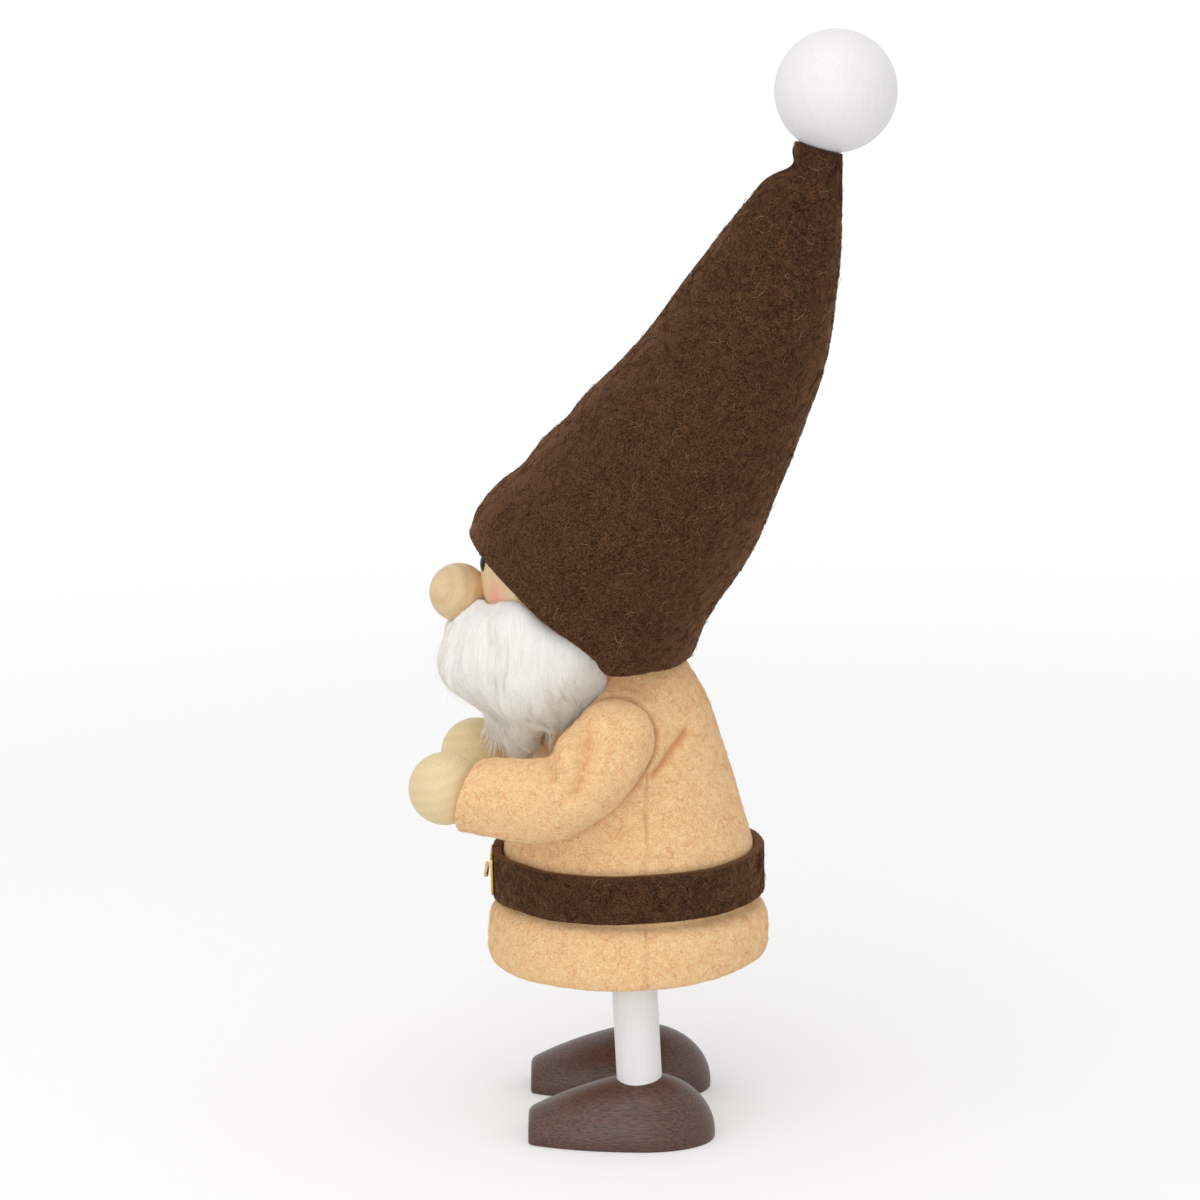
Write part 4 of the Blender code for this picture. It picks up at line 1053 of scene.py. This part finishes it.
# %% Folds
# Each fold: its line of (depth, height) points, how deep it goes (below 0 it bulges) and its width
SLEEVE_FOLDS = (
    (((-3.2, 2.0), (-3.8, -2.1), (-4.9, -5.0)), 0.8, 1.0),
    (((-9.1, 1.6), (-8.0, -3.1)), 0.6, 0.9),
    (((-6.6, 2.6), (-6.0, -1.6)), -0.7, 1.5),
    (((-1.2, 3.0), (-1.8, -3.6)), -0.4, 1.5),
)
COAT_FOLDS = ((((0.4, 49.8), (4.9, 54.6)), 0.8, 0.7),)
SEW_DEPTH = 0.7 * MM
SEW_WIDTH = 0.8 * MM
FACING_GAIN = 1.7
FACING_CUT = 0.2
# The depth at which a fold's painted shade is full, and that shade
SLEEVE_FOLD_SHADE = (0.9 * MM, 0.4)
COAT_FOLD_SHADE = (0.8 * MM, 0.6)
# Shade painted into the felt where the sleeve is sewn in, along the side seams and in the groove round
# the armhole
SEWN_SHADE = 0.8
SEAM_SHADE = 0.3
GROOVE_SHADE = 0.9


def crease(points, normals, folds):
    """Depth of the folds at each point, on whatever faces to a side."""
    facing = np.clip(np.abs(normals[..., 0]) * FACING_GAIN - FACING_CUT, 0, 1)
    total = np.zeros(points.shape[:-1])
    for line, depth, width in folds:
        gaps = []
        for start, end in zip(line, line[1:]):
            start, run = np.array(start) * MM, (np.array(end) - np.array(start)) * MM
            off = points[..., 1:] - start
            share = np.clip(off @ run / (run @ run), 0, 1)
            gaps.append(np.linalg.norm(off - share[..., None] * run, axis=-1))
        total += depth * MM * np.exp(-((np.min(gaps, axis=0) / (width * MM)) ** 2))
    return total * facing


def fold_shade(folds, full_depth, most):
    """The shade painted into the folds' colour, for the material."""
    return np.clip(folds / full_depth, 0, 1) ** 2 * most


# %% Sleeves
CUFF_DEPTH_ROWS = 28

pivots = {joint["name"].split("_")[1]: Vector(joint["pos_m"]) for joint in frame["joints"]}
sleeve_grids = {}


def bend_with_arm(piece):
    """Bakes the piece's placement into its mesh."""
    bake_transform(piece)


for side_name, side in (("left", 1), ("right", -1)):
    pivot = np.array(pivots[side_name])
    outer = sleeve_grid(pivot, side, ARM_ROUTES[side_name])
    folds = crease(outer - pivot, normals_of(outer), SLEEVE_FOLDS)
    from_waist = np.linalg.norm((outer - waist)[..., :2], axis=-1)
    coat_reach = np.interp(-outer[..., 2], -coat_line[:, 1], coat_line[:, 0])
    sewn = np.exp(-(((from_waist - coat_reach) / SEW_WIDTH) ** 2))
    outer = pressed(outer, normals_of(outer), folds + SEW_DEPTH * sewn, coarse=(6 * MM, 0.2 * MM))
    # Painted shade: the folds and the seam where the sleeve is sewn in are darkened in the felt's
    # colour.
    shade = fold_shade(folds, *SLEEVE_FOLD_SHADE) + sewn * SEWN_SHADE
    normals = normals_of(outer)
    sleeve_grids[side_name] = outer, normals
    walls = shell(outer, normals, COAT_FELT)[: len(outer) + EDGE_ROWS + CUFF_DEPTH_ROWS]
    tip = outer[:1].mean(1, keepdims=True).repeat(SLEEVE_COLUMNS, 1)
    floor_of_cuff = walls[-1:].mean(1, keepdims=True).repeat(SLEEVE_COLUMNS, 1)
    grid = np.concatenate([tip, walls, floor_of_cuff])
    data = skin("sleeve", grid, folds=np.clip(shade, 0, 1), first=1)
    names = f"felt_sleeve_{side_name}", f"sleeve_{side_name}"
    sleeve = add_piece(names[0], data, apricot_felt, "coat_felt", names[1], body=None)
    bend_with_arm(sleeve)
print("pivots mm", {name: [round(c / MM, 1) for c in place] for name, place in pivots.items()})

# %% [markdown]
# ## Coat
#
# The coat is a felt bell, drawn in under the belt, of a front and a back panel sewn together down the
# sides. Here it is one shell, because its panels are joined for good, and each seam is a fine groove
# that fades out over the shoulder. The edge of the armhole stands up as a soft lip, with the sleeve
# coming out from under it. Its line isn't drawn by hand: a search tree of the sleeve's faces tells
# for every point of the coat how far it is from the sleeve, and the lip and the groove are functions
# of that distance.

# %% Distance from the sleeves
LIP_HEIGHT = 0.8 * MM
LIP_PLACE = 1.5 * MM
LIP_WIDTH = 1.0 * MM
GROOVE_DEPTH = 1.0 * MM
GROOVE_WIDTH = 0.6 * MM
NEAR_SLEEVE = 4.0 * MM


def from_sleeve(points, outer, normals):
    """Each point's distance from the sleeve, below 0 inside it and no more than NEAR_SLEEVE."""
    rows, columns = outer.shape[:2]
    tree = BVHTree.FromPolygons(outer.reshape(-1, 3).tolist(), quads(rows, columns).tolist())
    flat = points.reshape(-1, 3)
    found = np.full(len(flat), NEAR_SLEEVE)
    low, high = outer.min((0, 1)) - NEAR_SLEEVE, outer.max((0, 1)) + NEAR_SLEEVE
    for i in np.flatnonzero(np.all((flat > low) & (flat < high), axis=1)):
        place, _, face, gap = tree.find_nearest(Vector(flat[i]), NEAR_SLEEVE)
        if place is not None:
            out = normals[face // columns, face % columns] @ (flat[i] - np.array(place))
            found[i] = gap if out > 0 else -gap
    return found.reshape(points.shape[:-1])


# %% Coat
COAT_COLUMNS = 300
HEM_BACK_RISE = 1.3 * MM
SEAM_DEPTH = 2.2 * MM
SEAM_GROOVE = 0.3 * MM
SEAM_WIDTH = 0.18 * MM
SEAM_FADE = 6.0 * MM

coat_angles = around(COAT_COLUMNS)
radius, height = coat_line[:, 0, None], coat_line[:, 1, None]
fall = np.clip((BELT_HEIGHT - PINCH_HALF - height) / (BELT_HEIGHT - PINCH_HALF - HEM_HEIGHT), 0, 1)
rise = HEM_BACK_RISE * fall * ((1 + np.sin(coat_angles)) / 2) ** 2
coat_ring = radius * np.cos(coat_angles), radius * np.sin(coat_angles)
coat_outer = waist + np.stack([*coat_ring, height + rise], -1)
coat_normals = normals_of(coat_outer)

seam = np.exp(-(((coat_outer[..., 1] - waist[1] - SEAM_DEPTH) / SEAM_WIDTH) ** 2))
seam *= np.clip((pivots["left"].z - coat_outer[..., 2]) / SEAM_FADE, 0, 1)
folds = crease(coat_outer, coat_normals, COAT_FOLDS)
# Painted shade: the folds and the side seams are darkened in the felt's colour.
shade = fold_shade(folds, *COAT_FOLD_SHADE) + SEAM_SHADE * seam
press = folds + SEAM_GROOVE * seam
for outer, normals in sleeve_grids.values():
    gap = from_sleeve(coat_outer, outer, normals)
    groove = np.exp(-((gap / GROOVE_WIDTH) ** 2))
    lip = np.exp(-(((gap - LIP_PLACE) / LIP_WIDTH) ** 2))
    press += GROOVE_DEPTH * groove - LIP_HEIGHT * lip + GROOVE_DEPTH * (gap < 0)
    # Painted shade in the groove round the armhole, where the sleeve comes out from under the coat.
    shade += GROOVE_SHADE * groove
coat_outer = pressed(coat_outer, coat_normals, press, coarse=(8 * MM, 0.22 * MM))
coat_normals = normals_of(coat_outer)
coat_walls = shell(coat_outer, coat_normals, COAT_FELT)
coat_data = skin("coat", coat_walls, shut=True, folds=np.clip(shade, 0, 1))
add_piece("felt_coat", coat_data, apricot_felt, "coat_felt", "coat_front", "coat_back")
print("coat points", len(coat_data.vertices))

# %% Coat hairs
APRICOT_HAIR_RADIUS = 0.018 * MM
APRICOT_HAIR_LENGTH = 2.0 * MM
# How many on the coat (each sleeve has a quarter of that) and the share that strays
APRICOT_HAIRS = {"pale": (3400, 0.15), "pink": (2000, 0.03)}

apricot_hairs = {
    "pale": plain_wool("pale_apricot_wool_hair", "#fbe0b4"),
    "pink": plain_wool("pink_apricot_wool_hair", "#f2b98c"),
}
for tone, (count, stray) in APRICOT_HAIRS.items():
    size = APRICOT_HAIR_LENGTH, APRICOT_HAIR_RADIUS
    kind = apricot_hairs[tone], "coat_felt"
    add_hairs(f"coat_hairs_{tone}", coat_outer, coat_normals, count, *size, *kind, stray=stray)
    for side_name, sleeve_felt in sleeve_grids.items():
        name = f"sleeve_hairs_{tone}_{side_name}"
        hairs = add_hairs(name, *sleeve_felt, count // 4, *size, *kind, body=None, stray=stray)
        bend_with_arm(hairs)

# %% [markdown]
# ## Belt and buckle
#
# The belt is a strip of the hat's felt, laid round the waist with its two ends meeting behind the
# buckle. It is a shell like the other felt pieces, but one whose grid doesn't close to a ring, and it
# tips down a little in front. The buckle is a flat brass frame pressed from sheet, with rounded
# corners, and its prong is a thin rod with round ends that lies across it.

# %% Belt
BELT_TILT = radians(1.4)
BELT_BUTT = 0.3 * MM
BELT_COLUMNS = 300
BELT_ROWS = 28
BELT_HAIRS = {"deep": 800, "light": 800, "pale": 50}
BELT_HAIR_LENGTH = 2.4 * MM

belt_centre = np.array((0, belt_middle.y, BELT_HEIGHT))
tilt = np.array(Matrix.Rotation(BELT_TILT, 3, "X"))
gap = BELT_BUTT / BELT_RADIUS
belt_angles = np.linspace(-pi / 2 + gap / 2, 1.5 * pi - gap / 2, BELT_COLUMNS)
levels = np.linspace(BELT_WIDTH / 2 - EDGE_SWELL, -BELT_WIDTH / 2 + EDGE_SWELL, BELT_ROWS)[:, None]
belt_ring = BELT_RADIUS * np.cos(belt_angles), BELT_RADIUS * np.sin(belt_angles)
belt_outer = np.stack(np.broadcast_arrays(*belt_ring, levels), -1)
belt_outer[..., 2] += lumps(belt_outer[:1] * np.array((1, 1, 0)), 9 * MM, 0.25 * MM)
belt_outer = belt_outer @ tilt.T + belt_centre
belt_normals = normals_of(belt_outer, ring=False)
belt_outer = pressed(belt_outer, belt_normals, coarse=(5 * MM, 0.12 * MM))
belt_data = skin("belt", shell(belt_outer, belt_normals, BELT_FELT), ring=False, shut=True)
add_piece("felt_belt", belt_data, brown_felt, "hat_felt", "belt")
for tone, count in BELT_HAIRS.items():
    size = BELT_HAIR_LENGTH, BROWN_HAIR_RADIUS
    kind = brown_hairs[tone], "hat_felt"
    add_hairs(f"belt_hairs_{tone}", belt_outer, belt_normals, count, *size, *kind, ring=False)

# %% Buckle
BUCKLE_WIDTH = 6.6 * MM
BUCKLE_HEIGHT = 5.8 * MM
BUCKLE_BAR = 0.9 * MM
BUCKLE_THICKNESS = 0.4 * MM
BUCKLE_CORNER = 1.0 * MM
BUCKLE_SETTLE = 0.45 * MM
BAR_EDGE = 0.14 * MM
PRONG_RADIUS = 0.3 * MM
PRONG_RINGS = 30
PRONG_CAP_RINGS = 7
PRONG_SIDES = 20


def swept(name, path, section, up, closed):
    """A section of (side, up) points swept along a path whose own up direction is given."""
    way = np.roll(path, -1, 0) - np.roll(path, 1, 0) if closed else np.gradient(path, axis=0)
    side = unit(np.cross(unit(way), up))
    section = np.asarray(section)
    grid = path[:, None] + side[:, None] * section[..., 0, None] + up * section[..., 1, None]
    return skin(name, grid, shut=closed, sharp=SHARP)


def rounded_box(width, height, corner, turns):
    """Points round a rectangle whose corners are quarter circles."""
    found = []
    for quarter, (sx, sy) in enumerate(((1, 1), (-1, 1), (-1, -1), (1, -1))):
        for k in range(turns + 1):
            a = pi / 2 * (quarter + k / turns)
            x = sx * (width / 2 - corner) + corner * cos(a)
            found.append((x, sy * (height / 2 - corner) + corner * sin(a)))
    return np.array(found)


frame_centre = np.array(centre_of("buckle_frame")) + np.array((0, BUCKLE_SETTLE, 0))
front = tilt @ np.array((0, -1.0, 0))
upright = tilt @ np.array((0, 0, 1.0))
sideways = np.array((1.0, 0, 0))
middle_size = BUCKLE_WIDTH - BUCKLE_BAR, BUCKLE_HEIGHT - BUCKLE_BAR
middle_line = rounded_box(*middle_size, BUCKLE_CORNER - BUCKLE_BAR / 4, 10)
path = frame_centre + middle_line[:, :1] * sideways + middle_line[:, 1:] * upright
bar = rounded_box(BUCKLE_BAR, BUCKLE_THICKNESS, BAR_EDGE, 4)
buckle_data = swept("buckle", path, bar, front, True)
add_piece("buckle_frame_pressed", buckle_data, pressed_brass, "brass", "buckle_frame")

prong_low, prong_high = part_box("buckle_prong")
middle = np.array(
    (0, (prong_low.y + prong_high.y) / 2 + BUCKLE_SETTLE, (prong_low.z + prong_high.z) / 2)
)
run = np.linspace(prong_low.x + PRONG_RADIUS, prong_high.x - PRONG_RADIUS, PRONG_RINGS)
turns = np.linspace(0, pi / 2, PRONG_CAP_RINGS, endpoint=False)
cap, ones = PRONG_RADIUS * np.cos(turns), np.ones(PRONG_RINGS)
along = np.concatenate([run[0] - cap, run, run[-1] + cap[::-1]])[:, None, None]
girth = np.concatenate([np.sin(turns), ones, np.sin(turns)[::-1]])[:, None, None] * PRONG_RADIUS
angles = around(PRONG_SIDES)[:, None]
prong_grid = middle + along * sideways + girth * (np.cos(angles) * front + np.sin(angles) * upright)
add_piece("buckle_prong_rod", skin("prong", prong_grid), pressed_brass, "brass", "buckle_prong")
print("buckle at mm", [round(c / MM, 1) for c in frame_centre])

# %% [markdown]
# ## Beard
#
# The beard is combed wool, pressed together under the nose and hanging in locks between the arms.
# Its solid gives the mass its place and size. A copy of it is remeshed with small voxels and
# smoothed, which melts its locks together, and noise stretched downwards combs shallow waves into
# it. On each side a valley parts the lock that hangs behind, and a few tucks ease the outline in or
# out. Then thousands of fine strands are laid over it. Each starts anywhere on the wool and runs
# down its face step by step, bent by a slow noise that its neighbours share, so that they wave
# together as locks do, and it leaves the wool where the face turns under. A second, shorter kind
# curls every way and stands off the wool, which gives it its down.

# %% Beard mass
BEARD_VOXEL = 0.42 * MM
MELT_STEPS = 26
MELT_FACTOR = 0.6
COMB = np.array((1.0, 1.0, 0.2))
# Size and height of each noise: along the combing, finer along it, and the same every way
COMBED_WAVE = (1.5 * MM, 0.1 * MM)
COMBED_LINES = (0.6 * MM, 0.03 * MM)
TUFTS = (4.5 * MM, 0.35 * MM)
BEARD_SWELL = 0.25 * MM
BEARD_FOLDS = (
    (((-11.3, 59.5), (-11.9, 53.5)), 0.5, 0.6),
    (((-15.2, 59.0), (-16.0, 55.5)), 0.2, 0.7),
)
# Depth and height of the middle of each tuck, its shift outwards, back and up, and its reach
BEARD_TUCKS = (
    ((-21.2, 73.3), (0.0, 0.0, -1.5), 2.6),
    ((-8.8, 65.8), (0.8, 0.9, 1.6), 3.8),
    ((-16.0, 57.5), (1.2, 0.0, -0.4), 4.0),
    ((-26.3, 56.0), (0.0, 1.6, 0.3), 3.6),
    ((-22.6, 51.6), (0.0, 2.0, 0.2), 4.0),
)
BEARD_HALF = 12.0 * MM

solid = frame["nodes"]["beard"]
rough = bpy.data.objects.new("beard_rough", solid.data.copy())
rough.matrix_world = solid.matrix_world
bpy.context.scene.collection.objects.link(rough)
remesh = rough.modifiers.new("remesh", "REMESH")
remesh.mode = "VOXEL"
remesh.voxel_size = BEARD_VOXEL
melt = rough.modifiers.new("melt", "SMOOTH")
melt.factor = MELT_FACTOR
melt.iterations = MELT_STEPS
bpy.context.view_layer.update()
melted = rough.evaluated_get(bpy.context.evaluated_depsgraph_get())
beard_data = bpy.data.meshes.new_from_object(melted)
beard_data.transform(rough.matrix_world)
bpy.data.objects.remove(rough, do_unlink=True)
beard_data.materials.clear()
places = np.array([v.co for v in beard_data.vertices])
ways = np.array([v.normal for v in beard_data.vertices])
combed = lumps(places * COMB, *COMBED_WAVE) + lumps(places * COMB, *COMBED_LINES)
combed += lumps(places, *TUFTS) + BEARD_SWELL - crease(places, ways, BEARD_FOLDS)
for middle, shift, reach in BEARD_TUCKS:
    near = np.exp(-(((places[:, 1:] / MM - middle) / reach) ** 2).sum(-1))
    sides = np.ones_like(places)
    sides[:, 0] = np.clip(places[:, 0] / BEARD_HALF, -1, 1)
    places += near[:, None] * np.array(shift) * MM * sides
places += ways * combed[:, None]
beard_data.vertices.foreach_set("co", places.astype(np.float32).ravel())
beard_data.update()
beard_data.shade_smooth()
add_piece("wool_beard", beard_data, white_wool, "wool", "beard")
print("beard points", len(beard_data.vertices))

# %% Laying strands
LOCK_DROP = 18.5 * MM
LOW_WOOL = 12.0 * MM
LOW_SHARE = 2.2
# Waves that neighbouring strands share: size and weight of the slow one and of the quick one
LOCK_WAVE = (3.0 * MM, 0.5)
CURL_WAVE = (1.1 * MM, 0.25)
STRAND_REST = 0.03 * MM
FREE_BEND = 1.3
FREE_STEP = 0.6
ROOT_SPREAD = 0.15 * MM
AIM_TURN = 0.5
# How far the wool may face inwards and downwards where a strand starts, and where it counts as under
LEAST_OUTWARD = -0.4
LEAST_UPWARD = -0.8
UNDER_START = 0.2
UNDER_LEAVE = 0.2

shape = bmesh.new()
shape.from_mesh(beard_data)
bmesh.ops.triangulate(shape, faces=shape.faces)
wool_tree = BVHTree.FromBMesh(shape)
areas = np.array([face.calc_area() for face in shape.faces])
middles = np.array([face.calc_center_median() for face in shape.faces])
facing = np.array([face.normal for face in shape.faces])
shape.free()
outward = np.sum(unit(middles - np.array(head_centre)) * facing, axis=-1)
odds = np.where((outward > LEAST_OUTWARD) & (facing[:, 2] > LEAST_UPWARD), areas, 0)
odds = odds * np.where(middles[:, 2] < head_centre.z - LOW_WOOL, LOW_SHARE, 1)
odds = odds / odds.sum()


def lay_strand(start, length, steps, combing, float_up):
    """A path over the wool. Combed, it runs down and leaves at the bottom; else it strays about."""
    spot, free = Vector(start), None
    aim = Vector(dice.normal(0, 1, 3))
    path = []
    for k in range(steps):
        share = k / (steps - 1)
        found, normal, _, _ = wool_tree.find_nearest(spot)
        if free is None:
            spot = found + normal * (STRAND_REST + float_up * share**2)
        path.append(tuple(spot))
        slow, quick = (noise.noise_vector(spot / size) * by for size, by in (LOCK_WAVE, CURL_WAVE))
        bend = slow + quick
        aim = aim + Vector(dice.normal(0, AIM_TURN, 3))
        way = (Vector((0, 0, -1)) + bend) * combing + aim.normalized() * (1 - combing)
        under = max(0, -normal.z - UNDER_START)
        hangs = combing > 0.5 and spot.z < head_centre.z - LOCK_DROP
        if free is None and under > UNDER_LEAVE and hangs:
            free = way.normalized()
        if free is None:
            way = way + Vector((0, 1, 0)) * under
            way = way - normal * way.dot(normal)
        else:
            way = free + bend * FREE_BEND
        spot = spot + way.normalized() * length / (steps - 1) * (FREE_STEP if free else 1)
    return path


def lay_strands(count, shortest, longest, steps, combing, float_up):
    """Paths from random places on the wool that faces outwards."""
    chosen = dice.choice(len(middles), count, p=odds)
    starts = middles[chosen] + dice.normal(0, ROOT_SPREAD, (count, 3))
    lengths = dice.uniform(shortest, longest, count)
    lifts = float_up * dice.exponential(1.0, count)
    rows = zip(starts, lengths, lifts)
    return np.array([lay_strand(start, reach, steps, combing, lift) for start, reach, lift in rows])


# %% Beard strands
# Shortest and longest, steps, how far combed, and how far the end floats up
STRAND_LAY = (2.5 * MM, 8.0 * MM, 15, 0.95, 0.07 * MM)
DOWN_LAY = (2.0 * MM, 4.5 * MM, 10, 0.35, 0.4 * MM)
STRAND_RADIUS = 0.022 * MM
DOWN_RADIUS = STRAND_RADIUS * 0.7
STRAND_COUNTS = {"white": 1300, "ivory": 800, "cream": 150}
DOWN_COUNTS = {"white": 1800, "ivory": 600}

wool_tones = {
    "white": plain_wool("white_wool_strand", "#fffdf8"),
    "ivory": plain_wool("ivory_wool_strand", "#fbf6ec"),
    "cream": plain_wool("cream_wool_strand", "#f3ebdd"),
}
for kind, counts, lay, radius in (
    ("strands", STRAND_COUNTS, STRAND_LAY, STRAND_RADIUS),
    ("down", DOWN_COUNTS, DOWN_LAY, DOWN_RADIUS),
):
    for tone, count in counts.items():
        data = hair_mesh(kind, lay_strands(count, *lay), radius)
        add_piece(f"beard_{kind}_{tone}", data, wool_tones[tone], "wool")
print("beard strands laid")

# %% [markdown]
# ## The pieces inside
#
# The wooden core, the neck peg and the wires keep their solids, which already have the right shape.
# They only take finer finishes: turned beech for the wood and drawn steel for the wires. The wires
# of the arms, soft enough to bend with the felt, are copied as pieces of their own.

# %% Inner pieces
core_beech = beech("turned_beech_core", (0, 0, 0), "#e6cca2", "#dabb8c", "#caa473")
for name in ("body_core", "neck_peg"):
    for slot_of in frame["nodes"][name].material_slots:
        slot_of.material = core_beech
for name in ("hat_wire", "shoulder_wire"):
    for slot_of in frame["nodes"][name].material_slots:
        slot_of.material = drawn_steel
for side_name in pivots:
    node = frame["nodes"][f"arm_wire_{side_name}"]
    data = node.data.copy()
    data.transform(node.matrix_world)
    data.materials.clear()
    names = f"soft_wire_{side_name}", f"arm_wire_{side_name}"
    wire = add_piece(names[0], data, drawn_steel, "steel_wire", names[1], body=None)
    bend_with_arm(wire)

# %% [markdown]
# ## Floor and light
#
# The doll stands on a wide pale floor under soft light from all round, with a softbox above and a
# larger one beside the camera. The world is grey where it lights things and white where the camera
# or a reflection looks at it, which Light Path can tell apart. The floor adds a little white of its
# own for the camera, least near the doll, so it keeps the doll's shadow and blends into the
# background.

# %% Floor
FLOOR_SIZE = 10.0
FLOOR_GLOW_NEAR = 0.2
FLOOR_GLOW_FAR = 0.4
FLOOR_GLOW_REACH = (0.15, 0.7)


def seen_directly(tree):
    """1 for what the camera sees, straight, mirrored or through glass, and 0 for what lights things."""
    rays = add(tree, "LightPath", {}).node.outputs
    seen = rays["Is Camera Ray"]
    for kind in ("Is Glossy Ray", "Is Transmission Ray"):
        seen = add(tree, "Math", {0: seen, 1: rays[kind]}, operation="MAXIMUM")
    return seen


floor_shape = bmesh.new()
bmesh.ops.create_grid(floor_shape, x_segments=1, y_segments=1, size=FLOOR_SIZE / 2)
floor_data = bpy.data.meshes.new("floor")
floor_shape.to_mesh(floor_data)
floor_shape.free()
floor = bpy.data.objects.new("floor", floor_data)
bpy.context.scene.collection.objects.link(floor)
floor_paper = bpy.data.materials.new("white_floor_paper")
floor_paper.use_nodes = True
tree = floor_paper.node_tree
shader = tree.nodes["Principled BSDF"]
far = add(tree, "VectorMath", {0: add(tree, "TexCoord", {}, "Object")}, "Value", operation="LENGTH")
reach = {"From Min": FLOOR_GLOW_REACH[0], "From Max": FLOOR_GLOW_REACH[1]}
reach |= {"Value": far, "To Min": FLOOR_GLOW_NEAR, "To Max": FLOOR_GLOW_FAR}
white = add(tree, "MapRange", reach, interpolation_type="SMOOTHSTEP")
look = {
    "Base Color": linear("#ececec"),
    "Roughness": 0.9,
    "Emission Color": WHITE,
    "Emission Strength": add(tree, "Math", {0: seen_directly(tree), 1: white}, operation="MULTIPLY"),
}
fill(tree, shader, look)
floor_data.materials.append(floor_paper)

# %% World
WORLD_LIGHT = 0.72

world = bpy.data.worlds.new("studio")
bpy.context.scene.world = world
world.use_nodes = True
tree = world.node_tree
lighting = tree.nodes["Background"]
fill(tree, lighting, {"Color": WHITE, "Strength": WORLD_LIGHT})
backdrop = add(tree, "Background", {"Color": WHITE, "Strength": 1.0})
chosen = add(tree, "MixShader", {0: seen_directly(tree), 1: lighting.outputs[0], 2: backdrop})
fill(tree, tree.nodes["World Output"], {"Surface": chosen})

# %% Softboxes
# Place in metres, edge in metres and watts of each
SOFTBOXES = {
    "softbox_above": ((0.35, -0.15, 0.85), 0.7, 1.7),
    "softbox_beside_camera": ((1.05, -0.2, 0.16), 0.9, 3.8),
}

for name, (place, edge, watts) in SOFTBOXES.items():
    softbox = bpy.data.objects.new(name, bpy.data.lights.new(name, "AREA"))
    softbox.data.shape = "SQUARE"
    softbox.data.size = edge
    softbox.data.energy = watts
    softbox.location = place
    softbox.rotation_euler = (VIEW_TARGET - softbox.location).to_track_quat("-Z", "Y").to_euler()
    bpy.context.scene.collection.objects.link(softbox)
bpy.context.scene.view_settings.view_transform = "Standard"
